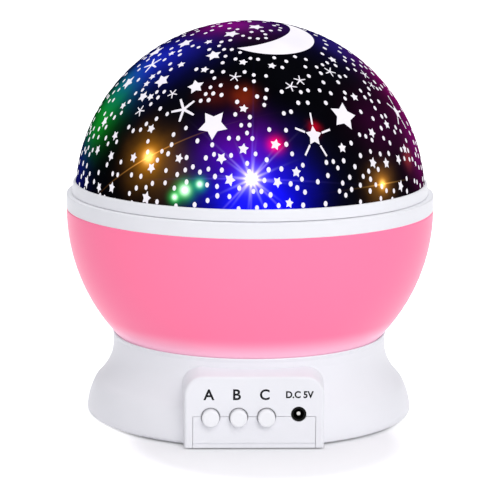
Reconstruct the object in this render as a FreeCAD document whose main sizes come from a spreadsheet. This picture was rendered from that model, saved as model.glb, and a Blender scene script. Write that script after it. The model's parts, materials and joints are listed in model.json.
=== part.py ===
import FreeCAD, Part
import math
import os
import Sketcher

# Star night light projector. Millimetres, +Z up, the panel with the buttons faces -Y.
# The origin is on the floor, on the axis that the globe turns about.

document = FreeCAD.newDocument("star_projector")
sheet = document.addObject("Spreadsheet::Sheet", "sizes")

DRIVING_SIZES = {
    # globe
    "bowl_radius": 65.0,
    "bowl_foot_radius": 41.3,
    "shell_wall": 2.0,
    "bowl_rim_rise": 0.5,
    "rim_height": 5.4,
    "rim_wall": 3.7,
    "rim_edge": 0.4,
    "spigot_depth": 0.8,
    "reflector_thickness": 1.5,
    "reflector_bore": 15.0,
    "ledge_width": 2.4,
    "ledge_height": 1.5,
    # dome
    "dome_inset": 3.1,
    "dome_wall": 1.3,
    "dome_drop": 2.9,
    "dome_ring_height": 3.9,
    "dome_ring_step": 0.6,
    "dome_ring_inset": 1.9,
    "dome_seat_height": 1.3,
    "skirt_wall": 1.4,
    "skirt_depth": 3.9,
    "lug_height": 1.4,
    "lug_reach": 1.6,
    "lug_span": 9.0,
    "twist_span": 14.0,
    "twist_play": 0.5,
    # base housing
    "base_radius": 57.9,
    "base_wall": 2.2,
    "base_corner": 0.9,
    "shoulder_inset": 2.3,
    "shoulder_height": 9.8,
    "shoulder_round": 7.2,
    "side_round": 24.0,
    "shoulder_drop": 1.4,
    "shoulder_rise": 2.1,
    "flare_radius": 19.0,
    "neck_rise": 6.8,
    "lip_height": 11.0,
    "lip_gap": 0.45,
    "lip_wall": 0.13,
    "lip_flare": 0.3,
    "deck_thickness": 2.0,
    # control panel
    "panel_proud": 0.1,
    "panel_height": 24.7,
    "panel_corner": 6.6,
    "panel_edge": 1.0,
    "panel_draft": 3.0,
    "panel_depth": 22.0,
    "panel_wall": 1.8,
    "tab_inset": 2.85,
    "tab_height": 10.8,
    "tab_seam_height": 1.5,
    "tab_seam_depth": 0.35,
    "button_pitch": 9.45,
    "button_middle": -5.35,
    "button_height": 11.3,
    "button_radius": 2.95,
    "button_gap": 0.35,
    "button_reach": 3.0,
    "button_edge": 0.7,
    "button_flange": 0.95,
    "button_travel": 1.0,
    "jack_place": 15.0,
    "jack_height": 12.3,
    "jack_nose_radius": 2.45,
    "jack_bore_radius": 1.85,
    "jack_bore_depth": 8.3,
    "jack_pin_radius": 0.65,
    "jack_pin_length": 7.3,
    "jack_width": 6.6,
    # control board
    "board_thickness": 1.6,
    "board_gap": 7.6,
    "board_width": 42.4,
    "board_side_gap": 0.6,
    "board_height": 12.8,
    "switch_width": 6.0,
    "switch_depth": 3.5,
    "plunger_radius": 1.75,
    "plunger_entry": 0.7,
    "chip_width": 8.0,
    "chip_depth": 1.5,
    "chip_height": 5.0,
    # bottom cover and feet
    "foot_height": 0.6,
    "foot_recess": 0.6,
    "foot_radius": 4.0,
    "foot_inset": 9.9,
    "foot_angle": 20.0,
    "cover_thickness": 2.0,
    "cover_gap": 0.3,
    "cover_screw_inset": 11.4,
    "post_radius": 2.6,
    "rib_width": 2.8,
    "rib_depth": 1.1,
    "fit_gap": 0.1,
    # battery bay
    "cell_radius": 5.25,
    "cell_length": 44.5,
    "cell_pitch": 10.8,
    "first_cell": -0.4,
    "cell_nub_radius": 2.6,
    "cell_nub_length": 1.2,
    "cell_gap": 0.3,
    "spring_length": 6.3,
    "spring_radius": 3.6,
    "spring_tip_radius": 2.4,
    "spring_wall": 0.6,
    "plate_thickness": 0.4,
    "plate_height": 8.0,
    "bay_wall": 1.2,
    "bay_end_room": 1.2,
    "wire_room": 1.3,
    "door_thickness": 1.9,
    "door_gap": 0.2,
    "door_margin": 2.0,
    "tongue_width": 8.0,
    "tongue_reach": 2.4,
    "tongue_spread": 12.0,
    "ear_width": 8.0,
    "ear_reach": 6.0,
    "ear_thickness": 1.4,
    "grip_length": 12.0,
    "grip_place": 4.0,
    "grip_pitch": 1.6,
    "grip_width": 0.8,
    "grip_depth": 0.4,
    # motor and gears
    "gear_module": 1.0,
    "gear_teeth": 60,
    "pinion_teeth": 12,
    "pressure_angle": 20.0,
    "tooth_shift": 0.3,
    "tooth_rise": 0.95,
    "tooth_depth": 1.25,
    "gear_backlash": 0.16,
    "gear_thickness": 3.4,
    "gear_floor_gap": 1.4,
    "gear_bore": 16.0,
    "gear_screw_circle": 22.0,
    "pinion_gap": 0.4,
    "motor_angle": -42.0,
    "motor_radius": 8.0,
    "motor_foot_gap": 0.6,
    "gearbox_height": 5.6,
    "motor_ear_circle": 10.6,
    "motor_ear_thickness": 1.2,
    "motor_ear_width": 6.0,
    "motor_ear_margin": 0.6,
    "shaft_radius": 1.0,
    "shaft_depth": 4.0,
    "bearing_radius": 3.0,
    "bearing_height": 1.2,
    "screw_bite": 1.6,
    # lamp column
    "column_radius": 6.0,
    "column_bore": 3.5,
    "column_length": 55.8,
    "column_flange_radius": 14.0,
    "column_flange_height": 2.0,
    "column_screw_circle": 11.6,
    "washer_radius": 9.3,
    "washer_thickness": 0.8,
    "bush_radius": 8.0,
    "bush_flange_radius": 10.5,
    "bush_flange_height": 1.5,
    "bush_top": 6.0,
    "running_gap": 0.06,
    "clip_radius": 8.4,
    "clip_thickness": 0.8,
    "clip_groove_depth": 0.8,
    "clip_opening": 7.0,
    "lamp_holder_radius": 13.0,
    "lamp_holder_socket": 6.0,
    "lamp_holder_wall": 2.0,
    "lamp_board_thickness": 1.2,
    "lamp_screw_place": 10.5,
    "led_radius": 2.5,
    "led_flange_radius": 2.9,
    "led_flange_height": 1.0,
    "led_body_height": 5.2,
    "led_circle": 6.4,
    # screws
    "screw_radius": 1.0,
    "screw_head_radius": 1.9,
    "screw_head_height": 1.1,
    "screw_gap": 0.12,
    # leads
    "lead_radius": 0.4,
    "lead_bend": 2.2,
    "lead_drop": 2.4,
}


class Size:
    """A size as its present number and as the expression over the sheet that binds it."""

    def __init__(self, number, text):
        self.number = number
        self.text = text

    def joined(self, other, sign, number):
        return Size(number, "(%s %s %s)" % (self.text, sign, as_text(other)))

    def __add__(self, other):
        return self.joined(other, "+", self.number + as_number(other))

    def __radd__(self, other):
        return as_size(other) + self

    def __sub__(self, other):
        return self.joined(other, "-", self.number - as_number(other))

    def __rsub__(self, other):
        return as_size(other) - self

    def __mul__(self, other):
        return self.joined(other, "*", self.number * as_number(other))

    def __rmul__(self, other):
        return self * other

    def __truediv__(self, other):
        return self.joined(other, "/", self.number / as_number(other))

    def __rtruediv__(self, other):
        return as_size(other) / self

    def __neg__(self):
        return 0 - self


def as_number(value):
    return value.number if isinstance(value, Size) else float(value)


def as_text(value):
    return value.text if isinstance(value, Size) else "%.9g" % value


def as_size(value):
    return value if isinstance(value, Size) else Size(float(value), as_text(value))


def root(value):
    return Size(math.sqrt(value.number), "sqrt(%s)" % value.text)


def cosine(angle):
    return Size(math.cos(math.radians(angle.number)), "cos(%s)" % angle.text)


def sine(angle):
    return Size(math.sin(math.radians(angle.number)), "sin(%s)" % angle.text)


size = {}
for row, (alias, number) in enumerate(DRIVING_SIZES.items(), start=1):
    sheet.set("A%d" % row, alias)
    sheet.set("B%d" % row, str(number))
    sheet.setAlias("B%d" % row, alias)
    size[alias] = Size(float(number), "sizes." + alias)
document.recompute()


# How far a cutting form reaches past the stock, so that it leaves no skin.
overcut = 1

# Heights of the stack, from the floor up.
cover_bottom = size["foot_height"]
cover_top = cover_bottom + size["cover_thickness"]
cell_middle = cover_top + size["cell_gap"] + size["cell_radius"]
bay_ceiling = cell_middle + size["cell_radius"] + size["cell_gap"]
bay_top = bay_ceiling + size["bay_wall"]
deck_bottom = bay_top + size["wire_room"]
deck_top = deck_bottom + size["deck_thickness"]
gear_bottom = deck_top + size["gear_floor_gap"]
bowl_bottom = gear_bottom + size["gear_thickness"]
bowl_floor_top = bowl_bottom + size["shell_wall"]
lip_top = deck_top + size["lip_height"]
globe_middle = bowl_bottom + root(
    size["bowl_radius"] * size["bowl_radius"] - size["bowl_foot_radius"] * size["bowl_foot_radius"])
rim_bottom = globe_middle + size["bowl_rim_rise"]
rim_top = rim_bottom + size["rim_height"]
reflector_top = rim_bottom - size["spigot_depth"]
reflector_bottom = reflector_top - size["reflector_thickness"]
ring_bottom = rim_top + size["door_gap"]
ring_top = ring_bottom + size["dome_ring_height"]
dome_seat = ring_bottom + size["dome_seat_height"]
dome_middle = dome_seat - size["dome_drop"]

# Radii that follow from the globe's and from the base's.
dome_radius = size["bowl_radius"] - size["dome_inset"]
shoulder_radius = size["base_radius"] - size["shoulder_inset"]
foot_circle = size["base_radius"] - size["foot_inset"]
cover_screw_circle = size["base_radius"] - size["cover_screw_inset"]

# Radii of the globe's rings, from the outside in.
bowl_inner_radius = size["bowl_radius"] - size["shell_wall"]
rim_inner_radius = size["bowl_radius"] - size["rim_wall"]
skirt_radius = rim_inner_radius - size["cover_gap"]
skirt_inner_radius = skirt_radius - size["skirt_wall"]


def across_sphere(radius, middle, height):
    """Radius of a sphere's circle at a height."""
    return root(radius * radius - (middle - height) * (middle - height))


bowl_at_lip = across_sphere(size["bowl_radius"], globe_middle, lip_top)
neck_radius = bowl_at_lip + size["lip_gap"] + size["lip_wall"]


def bind(item, path, value):
    item.setExpression(path, as_text(value))


def place(item, x=0, y=0, z=0):
    for letter, value in zip("xyz", (x, y, z)):
        bind(item, "Placement.Base." + letter, value)
    return item


scratch_count = [0]


def scratch(kind):
    """A construction object under a name of its own."""
    scratch_count[0] += 1
    return document.addObject(kind, "form%03d" % scratch_count[0])


TURNS = {
    "z": FreeCAD.Rotation(),
    "y": FreeCAD.Rotation(FreeCAD.Vector(1, 0, 0), -90),
    "x": FreeCAD.Rotation(FreeCAD.Vector(0, 1, 0), 90),
}


def cylinder(radius, height, x=0, y=0, z=0, along="z", span=None, start=0):
    item = scratch("Part::Cylinder")
    bind(item, "Radius", radius)
    bind(item, "Height", height)
    turn = TURNS[along]
    if span is not None:
        bind(item, "Angle", span)
        turn = FreeCAD.Rotation(FreeCAD.Vector(0, 0, 1), start)
    item.Placement = FreeCAD.Placement(FreeCAD.Vector(), turn)
    return place(item, x, y, z)


def cone(low_radius, high_radius, height, x=0, y=0, z=0, along="z"):
    item = scratch("Part::Cone")
    bind(item, "Radius1", low_radius)
    bind(item, "Radius2", high_radius)
    bind(item, "Height", height)
    item.Placement = FreeCAD.Placement(FreeCAD.Vector(), TURNS[along])
    return place(item, x, y, z)


def block(low_x, high_x, low_y, high_y, low_z, high_z):
    item = scratch("Part::Box")
    bind(item, "Length", as_size(high_x) - low_x)
    bind(item, "Width", as_size(high_y) - low_y)
    bind(item, "Height", as_size(high_z) - low_z)
    return place(item, low_x, low_y, low_z)


def joined(*forms):
    item = scratch("Part::MultiFuse")
    item.Shapes = list(forms)
    item.Refine = True
    return item


def cut(stock, *tools):
    item = scratch("Part::Cut")
    item.Base = stock
    item.Tool = tools[0] if len(tools) == 1 else joined(*tools)
    item.Refine = True
    return item


def group(*solids):
    """Separate solids under one node."""
    item = scratch("Part::Compound")
    item.Links = list(solids)
    return item


def arc_centre(start, end, radius):
    """Centre of the arc from start to end: left of its way if radius is positive."""
    middle = (start + end) * 0.5
    way = end - start
    side = FreeCAD.Vector(-way.y, way.x, 0).normalize()
    reach = math.sqrt(max(radius * radius - way.Length * way.Length / 4, 0))
    return middle + side * (reach if radius > 0 else -reach)


def draw_outline(body, plane, outline):
    """Closed sketch. A corner is (across, up) or, with an arc to the next one, (across, up, radius)."""
    sketch = body.newObject("Sketcher::SketchObject", body.Name + "_outline")
    support = [item for item in body.Origin.OriginFeatures if item.Role == plane][0]
    sketch.AttachmentSupport = (support, [""])
    sketch.MapMode = "FlatFace"
    spots = [FreeCAD.Vector(as_number(corner[0]), as_number(corner[1]), 0) for corner in outline]
    ends = []
    arcs = []
    for index, corner in enumerate(outline):
        start = spots[index]
        end = spots[(index + 1) % len(spots)]
        if len(corner) == 2:
            edge = sketch.addGeometry(Part.LineSegment(start, end))
            ends.append((edge, 1, 2))
            continue
        radius = as_number(corner[2])
        centre = arc_centre(start, end, radius)
        first, last, near, far = (start, end, 1, 2) if radius > 0 else (end, start, 2, 1)
        angles = [math.atan2(spot.y - centre.y, spot.x - centre.x) for spot in (first, last)]
        circle = Part.Circle(centre, FreeCAD.Vector(0, 0, 1), abs(radius))
        edge = sketch.addGeometry(Part.ArcOfCircle(circle, angles[0], angles[1]))
        ends.append((edge, near, far))
        arcs.append((edge, corner[2]))
    for index, (edge, near, far) in enumerate(ends):
        following = ends[(index + 1) % len(ends)]
        sketch.addConstraint(Sketcher.Constraint("Coincident", edge, far, following[0], following[1]))
    for corner, spot, (edge, near, far) in zip(outline, spots, ends):
        for kind, value, number in (("DistanceX", corner[0], spot.x), ("DistanceY", corner[1], spot.y)):
            rule = sketch.addConstraint(Sketcher.Constraint(kind, -1, 1, edge, near, number))
            bind(sketch, "Constraints[%d]" % rule, value)
    for edge, radius in arcs:
        rule = sketch.addConstraint(Sketcher.Constraint("Radius", edge, abs(as_number(radius))))
        bind(sketch, "Constraints[%d]" % rule, radius if as_number(radius) > 0 else -as_size(radius))
    return sketch


def turned(outline):
    """A body turned about Z from an outline of radii and heights."""
    body = scratch("PartDesign::Body")
    sketch = draw_outline(body, "XZ_Plane", outline)
    feature = body.newObject("PartDesign::Revolution", body.Name + "_turning")
    feature.Profile = sketch
    feature.ReferenceAxis = (sketch, ["V_Axis"])
    feature.Angle = 360
    return body


def padded(plane, outline, depth):
    """A body padded from an outline: up from XY, or towards -Y from XZ."""
    body = scratch("PartDesign::Body")
    sketch = draw_outline(body, plane, outline)
    feature = body.newObject("PartDesign::Pad", body.Name + "_pad")
    feature.Profile = sketch
    bind(feature, "Length", depth)
    return body


def tube(radius, inner_radius, height, z=0):
    return turned([(inner_radius, z), (radius, z), (radius, z + height), (inner_radius, z + height)])


nodes = []


def node(name, item):
    item.Label = name
    nodes.append(item)
    return item


def screw(head_z, length, x=0, y=0, head_up=False):
    """A pan-head screw. head_z is the head's seat, from which the shank goes on."""
    shank_z = head_z - length if head_up else head_z
    cap_z = head_z if head_up else head_z - size["screw_head_height"]
    return joined(cylinder(size["screw_radius"], length, x, y, shank_z),
                  cylinder(size["screw_head_radius"], size["screw_head_height"], x, y, cap_z))


def on_circle(radius, degrees):
    angle = as_size(degrees)
    return radius * cosine(angle), radius * sine(angle)


screw_hole = size["screw_radius"] + size["screw_gap"]
head_hole = size["screw_head_radius"] + size["screw_gap"]
head_depth = size["screw_head_height"] + size["door_gap"]

# The panel's width holds the board and the side walls.
panel_width = size["board_width"] + (size["board_side_gap"] + size["panel_wall"]) * 2
tab_width = panel_width - size["tab_inset"] * 2

# Places on the panel and behind it, along Y.
panel_face = -(size["base_radius"] + size["panel_proud"])
panel_back = panel_face + size["panel_wall"]
button_face = panel_face - size["button_reach"]
flange_front = panel_back + size["cover_gap"]
button_back = flange_front + size["button_flange"]
board_face = panel_back + size["board_gap"]
board_back = board_face + size["board_thickness"]
switch_face = board_face - size["switch_depth"]
plunger_back = switch_face + size["plunger_entry"]
button_names = ["a", "b", "c"]
button_places = [size["button_middle"] + size["button_pitch"] * step for step in (-1, 0, 1)]

# Places of the battery bay. The cells lie along X, side by side in Y.
cell_places = [size["first_cell"] + size["cell_pitch"] * number for number in range(4)]
bay_half_length = (size["cell_length"] + size["spring_length"]) / 2 + size["plate_thickness"]
bay_front = cell_places[0] - size["cell_radius"] - size["cell_gap"]
bay_rear = cell_places[3] + size["cell_radius"] + size["bay_end_room"]
door_half_width = bay_half_length - size["door_margin"]
door_front = bay_front - size["door_margin"]
door_rear = bay_rear - size["tongue_reach"] - size["door_gap"]
door_screw_place = door_front - size["ear_reach"] / 2
tongue_bottom = cover_bottom + size["cover_thickness"] / 2

# Places of the drive.
gear_pitch_radius = size["gear_module"] * size["gear_teeth"] / 2
pinion_pitch_radius = size["gear_module"] * size["pinion_teeth"] / 2
motor_distance = gear_pitch_radius + pinion_pitch_radius
motor_x, motor_y = on_circle(motor_distance, size["motor_angle"])
gearbox_bottom = deck_bottom - size["gearbox_height"]
shaft_top = bowl_bottom - size["pinion_gap"]


def cover_screw_spots():
    return [on_circle(cover_screw_circle, angle) for angle in (40, 140, 240, 300)]


def foot_spots():
    quarter = size["foot_angle"]
    return [on_circle(foot_circle, angle)
            for angle in (quarter, 180 - quarter, 180 + quarter, 360 - quarter)]


def motor_ear_spots():
    way = size["motor_angle"] + 90
    step_x, step_y = on_circle(size["motor_ear_circle"], way)
    return [(motor_x + step_x, motor_y + step_y), (motor_x - step_x, motor_y - step_y)]


def gear_screw_spots():
    return [on_circle(size["gear_screw_circle"], angle) for angle in (30, 150, 270)]


def column_screw_spots():
    return [on_circle(size["column_screw_circle"], angle) for angle in (0, 120, 240)]


def panel_outline(inset, low, high):
    """Front view of the panel: square at the floor, rounded at its two upper corners."""
    half = panel_width / 2 - inset
    corner = size["panel_corner"] - inset
    return [(-half, low), (half, low), (half, high - corner, corner), (half - corner, high),
            (corner - half, high, corner), (-half, high - corner)]


# Base: housing, bottom cover and feet
def make_base_housing():
    shoulder_z = cover_bottom + size["shoulder_height"]
    corner = size["base_corner"]
    radius = size["base_radius"]
    flare_foot = shoulder_radius - size["shoulder_drop"]
    dish_radius = neck_radius - size["base_wall"]
    lip_inner = bowl_at_lip + size["lip_gap"]
    lip_slope = lip_inner - dish_radius
    outside = turned([
        (0, cover_bottom),
        (radius - corner, cover_bottom, corner),
        (radius, cover_bottom + corner),
        (radius, cover_bottom + corner * 2, size["side_round"]),
        (shoulder_radius, shoulder_z, size["shoulder_round"]),
        (flare_foot, shoulder_z + size["shoulder_rise"], -size["flare_radius"]),
        (neck_radius, deck_top + size["neck_rise"]),
        (neck_radius, lip_top - size["lip_flare"] * 5),
        (neck_radius + size["lip_flare"], lip_top - size["lip_flare"]),
        (neck_radius + size["lip_flare"] / 2, lip_top),
        (0, lip_top),
    ])
    wall = size["base_wall"]
    hollow = turned([
        (0, 0),
        (radius - wall, 0),
        (radius - wall, cover_bottom + corner * 2),
        (shoulder_radius - wall, shoulder_z),
        (neck_radius + wall / 2, deck_bottom),
        (0, deck_bottom),
    ])
    dish = turned([
        (0, deck_top),
        (dish_radius, deck_top),
        (dish_radius, lip_top - lip_slope),
        (lip_inner, lip_top),
        (lip_inner, lip_top + overcut),
        (0, lip_top + overcut),
    ])
    panel_top = cover_bottom + size["panel_height"]
    panel = padded("XZ_Plane", panel_outline(0, cover_bottom, panel_top), size["panel_depth"])
    bind(panel.Tip.Profile[0], "AttachmentOffset.Base.z", -panel_face)
    panel_pad = panel.Tip
    panel_pad.Reversed = True
    bind(panel_pad, "TaperAngle", size["panel_draft"])
    document.recompute()
    rounding = panel.newObject("PartDesign::Fillet", "panel_rounding")
    front_y = panel_face.number
    front_edges = ["Edge%d" % (index + 1) for index, edge in enumerate(panel.Shape.Edges)
                   if abs(edge.BoundBox.YMin - front_y) < 0.01 and abs(edge.BoundBox.YMax - front_y) < 0.01
                   and edge.BoundBox.ZMax > cover_bottom.number + 0.01]
    rounding.Base = (panel_pad, front_edges)
    bind(rounding, "Radius", size["panel_edge"])
    reach = size["base_radius"]
    below = block(-reach, reach, panel_face * 1.2, reach, -reach, cover_bottom)
    above = block(-reach, reach, panel_face * 1.2, reach, lip_top - size["lip_flare"] * 3, lip_top + reach)
    boss = joined(outside, cut(panel, below, above))
    inset = size["panel_wall"]
    panel_hollow = padded("XZ_Plane", panel_outline(inset, 0, panel_top - inset), -panel_back)
    neck_core = cylinder(neck_radius, panel_top, z=deck_bottom)
    low_core = cylinder(neck_radius - wall, deck_bottom)
    panel_room = cut(panel_hollow, neck_core, low_core)
    tab_half = tab_width / 2 + size["cover_gap"] / 2
    tab_window = block(-tab_half, tab_half, panel_face - overcut, panel_back + wall, 0,
                       cover_bottom + size["tab_height"] + size["cover_gap"] / 2)
    shell = cut(boss, hollow, dish, panel_room, tab_window, *panel_holes(wall + overcut))
    post_height = deck_bottom - cover_top + size["deck_thickness"] / 4
    posts = [cylinder(size["post_radius"], post_height, x, y, cover_top) for x, y in cover_screw_spots()]
    ribs = []
    for middle in (-size["board_width"] / 2, size["board_width"] / 2):
        left, right = middle - size["rib_width"] / 2, middle + size["rib_width"] / 2
        rib_top = deck_bottom + size["deck_thickness"] / 4
        front_rib = board_face - size["fit_gap"]
        rear_rib = board_back + size["fit_gap"]
        ribs.append(block(left, right, front_rib - size["rib_depth"], front_rib, cover_top, rib_top))
        ribs.append(block(left, right, rear_rib, rear_rib + size["rib_depth"], cover_top, rib_top))
    body = joined(shell, *posts, *ribs)
    through = size["deck_thickness"] + overcut * 2
    holes = [cylinder(screw_hole, size["panel_corner"] + overcut * 2, x, y, cover_top - overcut)
             for x, y in cover_screw_spots()]
    holes += [cylinder(screw_hole, size["deck_thickness"], x, y, deck_bottom - size["door_gap"])
              for x, y in motor_ear_spots()]
    holes += [cylinder(screw_hole, through, x, y, deck_bottom - overcut) for x, y in column_screw_spots()]
    holes.append(cylinder(size["bearing_radius"] + size["cover_gap"], through,
                          motor_x, motor_y, deck_bottom - overcut))
    holes.append(cylinder(size["column_bore"], through, 0, 0, deck_bottom - overcut))
    return node("base_housing", cut(body, *holes))


def panel_holes(depth):
    """Cutters for the buttons and the inlet, from ahead of the panel to a depth behind its face."""
    start = panel_face - overcut
    depth = depth + overcut
    holes = [cylinder(size["button_radius"] + size["button_gap"], depth, x, start, size["button_height"], "y")
             for x in button_places]
    holes.append(cylinder(size["jack_nose_radius"] + size["button_gap"] / 2, depth,
                          size["jack_place"], start, size["jack_height"], "y"))
    return holes


def make_bottom_cover():
    plate_radius = size["base_radius"] - size["base_wall"] - size["cover_gap"]
    plate = cylinder(plate_radius, size["cover_thickness"], z=cover_bottom)
    apron_half = tab_width / 2
    apron = block(-apron_half, apron_half, panel_face + size["panel_wall"] / 2, -neck_radius,
                  cover_bottom, cover_top)
    tab = block(-apron_half, apron_half, panel_face, panel_back, cover_bottom,
                cover_bottom + size["tab_height"])
    wall = size["bay_wall"]
    bay = block(-bay_half_length - wall, bay_half_length + wall, bay_front - wall, bay_rear + wall,
                cover_bottom, bay_top)
    screw_boss = cylinder(size["post_radius"], size["cover_thickness"] * 2, 0, door_screw_place, cover_bottom)
    stock = joined(plate, apron, tab, bay, screw_boss)
    gap = size["door_gap"]
    seam_z = cover_bottom + size["tab_seam_height"]
    room = [
        block(-bay_half_length, bay_half_length, bay_front, bay_rear, cover_top, bay_ceiling),
        block(-door_half_width - gap, door_half_width + gap, door_front - gap, door_rear + gap,
              0, cover_top + size["fit_gap"]),
        block(-size["ear_width"] / 2 - gap, size["ear_width"] / 2 + gap, door_front - size["ear_reach"] - gap,
              door_front, 0, cover_bottom + size["ear_thickness"] + gap),
        block(-apron_half - overcut, apron_half + overcut, panel_face - overcut,
              panel_face + size["tab_seam_depth"], seam_z - gap, seam_z + gap),
    ]
    for side in (-1, 1):
        middle = size["tongue_spread"] * side
        room.append(block(middle - size["tongue_width"] / 2 - gap, middle + size["tongue_width"] / 2 + gap,
                          door_rear, bay_rear, tongue_bottom - gap, cover_top + size["fit_gap"]))
    room.append(cylinder(screw_hole + size["fit_gap"], size["cover_thickness"] * 3, 0, door_screw_place,
                         cover_bottom))
    for x, y in cover_screw_spots():
        room.append(cylinder(screw_hole, size["cover_thickness"] + overcut * 2, x, y, cover_bottom - overcut))
        room.append(cylinder(head_hole, head_depth + overcut, x, y, cover_bottom - overcut))
    for x, y in foot_spots():
        room.append(cylinder(size["foot_radius"], size["foot_recess"] + overcut,
                             x, y, cover_bottom - overcut))
    room += panel_holes(size["panel_wall"] + overcut)
    return node("bottom_cover", cut(stock, *room))


def make_cover_screws():
    seat = cover_bottom + head_depth
    return node("cover_screws", group(*[screw(seat, size["panel_corner"], x, y)
                                        for x, y in cover_screw_spots()]))


def make_rubber_feet():
    height = size["foot_height"] + size["foot_recess"]
    feet = [cylinder(size["foot_radius"], height, x, y, 0) for x, y in foot_spots()]
    return node("rubber_feet", group(*feet))


# Battery bay: door, cells and contacts
def make_battery_door():
    panel = block(-door_half_width, door_half_width, door_front, door_rear, cover_bottom,
                  cover_bottom + size["door_thickness"])
    ear = block(-size["ear_width"] / 2, size["ear_width"] / 2, door_front - size["ear_reach"],
                door_front + overcut, cover_bottom, cover_bottom + size["ear_thickness"])
    tongues = []
    for side in (-1, 1):
        middle = size["tongue_spread"] * side
        tongue_end = door_rear + size["tongue_reach"] - size["door_gap"]
        tongues.append(block(middle - size["tongue_width"] / 2, middle + size["tongue_width"] / 2,
                             door_rear - size["door_margin"], tongue_end,
                             tongue_bottom, cover_bottom + size["door_thickness"]))
    grips = []
    for line in range(4):
        start = door_front + size["grip_place"] + size["grip_pitch"] * line
        grips.append(block(-size["grip_length"] / 2, size["grip_length"] / 2,
                           start, start + size["grip_width"],
                           cover_bottom - overcut, cover_bottom + size["grip_depth"]))
    below = cover_bottom - overcut
    hole = cylinder(screw_hole, size["ear_thickness"] + overcut * 2, 0, door_screw_place, below)
    seat = cylinder(head_hole, size["ear_thickness"] / 2 + overcut, 0, door_screw_place, below)
    return node("battery_door", cut(joined(panel, ear, *tongues), hole, seat, *grips))


def make_battery_door_screw():
    seat = cover_bottom + size["ear_thickness"] / 2
    head = size["ear_thickness"] / 2 - size["fit_gap"]
    shank = cylinder(size["screw_radius"], size["ear_thickness"] * 2.5, 0, door_screw_place, seat)
    cap = cylinder(size["screw_head_radius"], head, 0, door_screw_place, seat - head)
    return node("battery_door_screw", joined(shank, cap))


def make_battery_cells():
    """Cells alternate: the nub of one points where the flat end of the next does."""
    cells = []
    for number, y in enumerate(cell_places):
        nub_right = number % 2 == 0
        body_length = size["cell_length"] - size["cell_nub_length"]
        far_end = bay_half_length - size["plate_thickness"]
        if nub_right:
            can = cylinder(size["cell_radius"], body_length, far_end - size["cell_length"], y,
                           cell_middle, "x")
            nub = cylinder(size["cell_nub_radius"], size["cell_nub_length"] + overcut,
                           far_end - size["cell_nub_length"] - overcut, y, cell_middle, "x")
        else:
            can = cylinder(size["cell_radius"], body_length, size["cell_nub_length"] - far_end, y,
                           cell_middle, "x")
            nub = cylinder(size["cell_nub_radius"], size["cell_nub_length"] + overcut, -far_end, y,
                           cell_middle, "x")
        cells.append(joined(can, nub))
    return node("battery_cells", group(*cells))


def make_battery_springs():
    """A conical spring presses on the flat end of each cell."""
    springs = []
    wall = size["spring_wall"]
    length = size["spring_length"]
    far_end = bay_half_length - size["plate_thickness"]
    for number, y in enumerate(cell_places):
        wide, narrow = size["spring_radius"], size["spring_tip_radius"]
        if number % 2 == 0:
            outer = cone(wide, narrow, length, -far_end, y, cell_middle, "x")
            inner = cone(wide - wall, narrow - wall, length, -far_end, y, cell_middle, "x")
        else:
            outer = cone(narrow, wide, length, far_end - length, y, cell_middle, "x")
            inner = cone(narrow - wall, wide - wall, length, far_end - length, y, cell_middle, "x")
        springs.append(cut(outer, inner))
    return node("battery_springs", group(*springs))


def make_contact_plates():
    low = cell_middle - size["plate_height"] / 2
    high = cell_middle + size["plate_height"] / 2
    front = cell_places[0] - size["cell_radius"] / 2
    rear = cell_places[3] + size["cell_radius"] / 2
    thick = size["plate_thickness"]
    plates = [block(bay_half_length - thick, bay_half_length, front, rear, low, high),
              block(-bay_half_length, thick - bay_half_length, front, rear, low, high)]
    return node("contact_plates", group(*plates))


# Controls: board, switches, buttons and power inlet
def make_control_board():
    half = size["board_width"] / 2
    board = block(-half, half, board_face, board_back, cover_top, cover_top + size["board_height"])
    return node("control_board", board)


def make_board_chips():
    low = cover_top + size["board_height"] / 3
    depth = size["chip_depth"]
    wide = size["chip_width"]
    tall = size["chip_height"]
    chip = block(-wide / 2, wide / 2, board_back, board_back + depth, low, low + tall)
    driver = block(wide, wide * 1.7, board_back, board_back + depth, low, low + tall)
    store = cylinder(tall / 2, wide * 0.7, -wide * 1.5, board_back, low + tall / 2, "y")
    return node("board_chips", group(chip, driver, store))


def make_tact_switches():
    half = size["switch_width"] / 2
    cases = []
    for x in button_places:
        case = block(x - half, x + half, switch_face, board_face, size["button_height"] - half,
                     size["button_height"] + half)
        well = cylinder(size["plunger_radius"] + size["fit_gap"],
                        size["plunger_entry"] + size["button_travel"] + size["cover_gap"],
                        x, switch_face, size["button_height"], "y")
        cases.append(cut(case, well))
    return node("tact_switches", group(*cases))


def make_switch_plungers():
    length = plunger_back - button_back
    for letter, x in zip(button_names, button_places):
        node("plunger_" + letter, cylinder(size["plunger_radius"], length, x, button_back,
                                           size["button_height"], "y"))


def make_buttons():
    """A cap with a rounded front edge, and behind the wall a flange that keeps it in."""
    radius = size["button_radius"]
    edge = size["button_edge"]
    length = button_back - button_face
    flange_start = flange_front - button_face
    flange_radius = radius + size["button_gap"] * 2.5
    for letter, x in zip(button_names, button_places):
        cap = turned([
            (0, -length),
            (flange_radius, -length),
            (flange_radius, -flange_start),
            (radius, -flange_start),
            (radius, -edge, edge),
            (radius - edge, 0),
            (0, 0),
        ])
        cap.Placement = FreeCAD.Placement(FreeCAD.Vector(), FreeCAD.Rotation(FreeCAD.Vector(1, 0, 0), 90))
        node("button_" + letter, place(cap, x, button_face, size["button_height"]))


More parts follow.
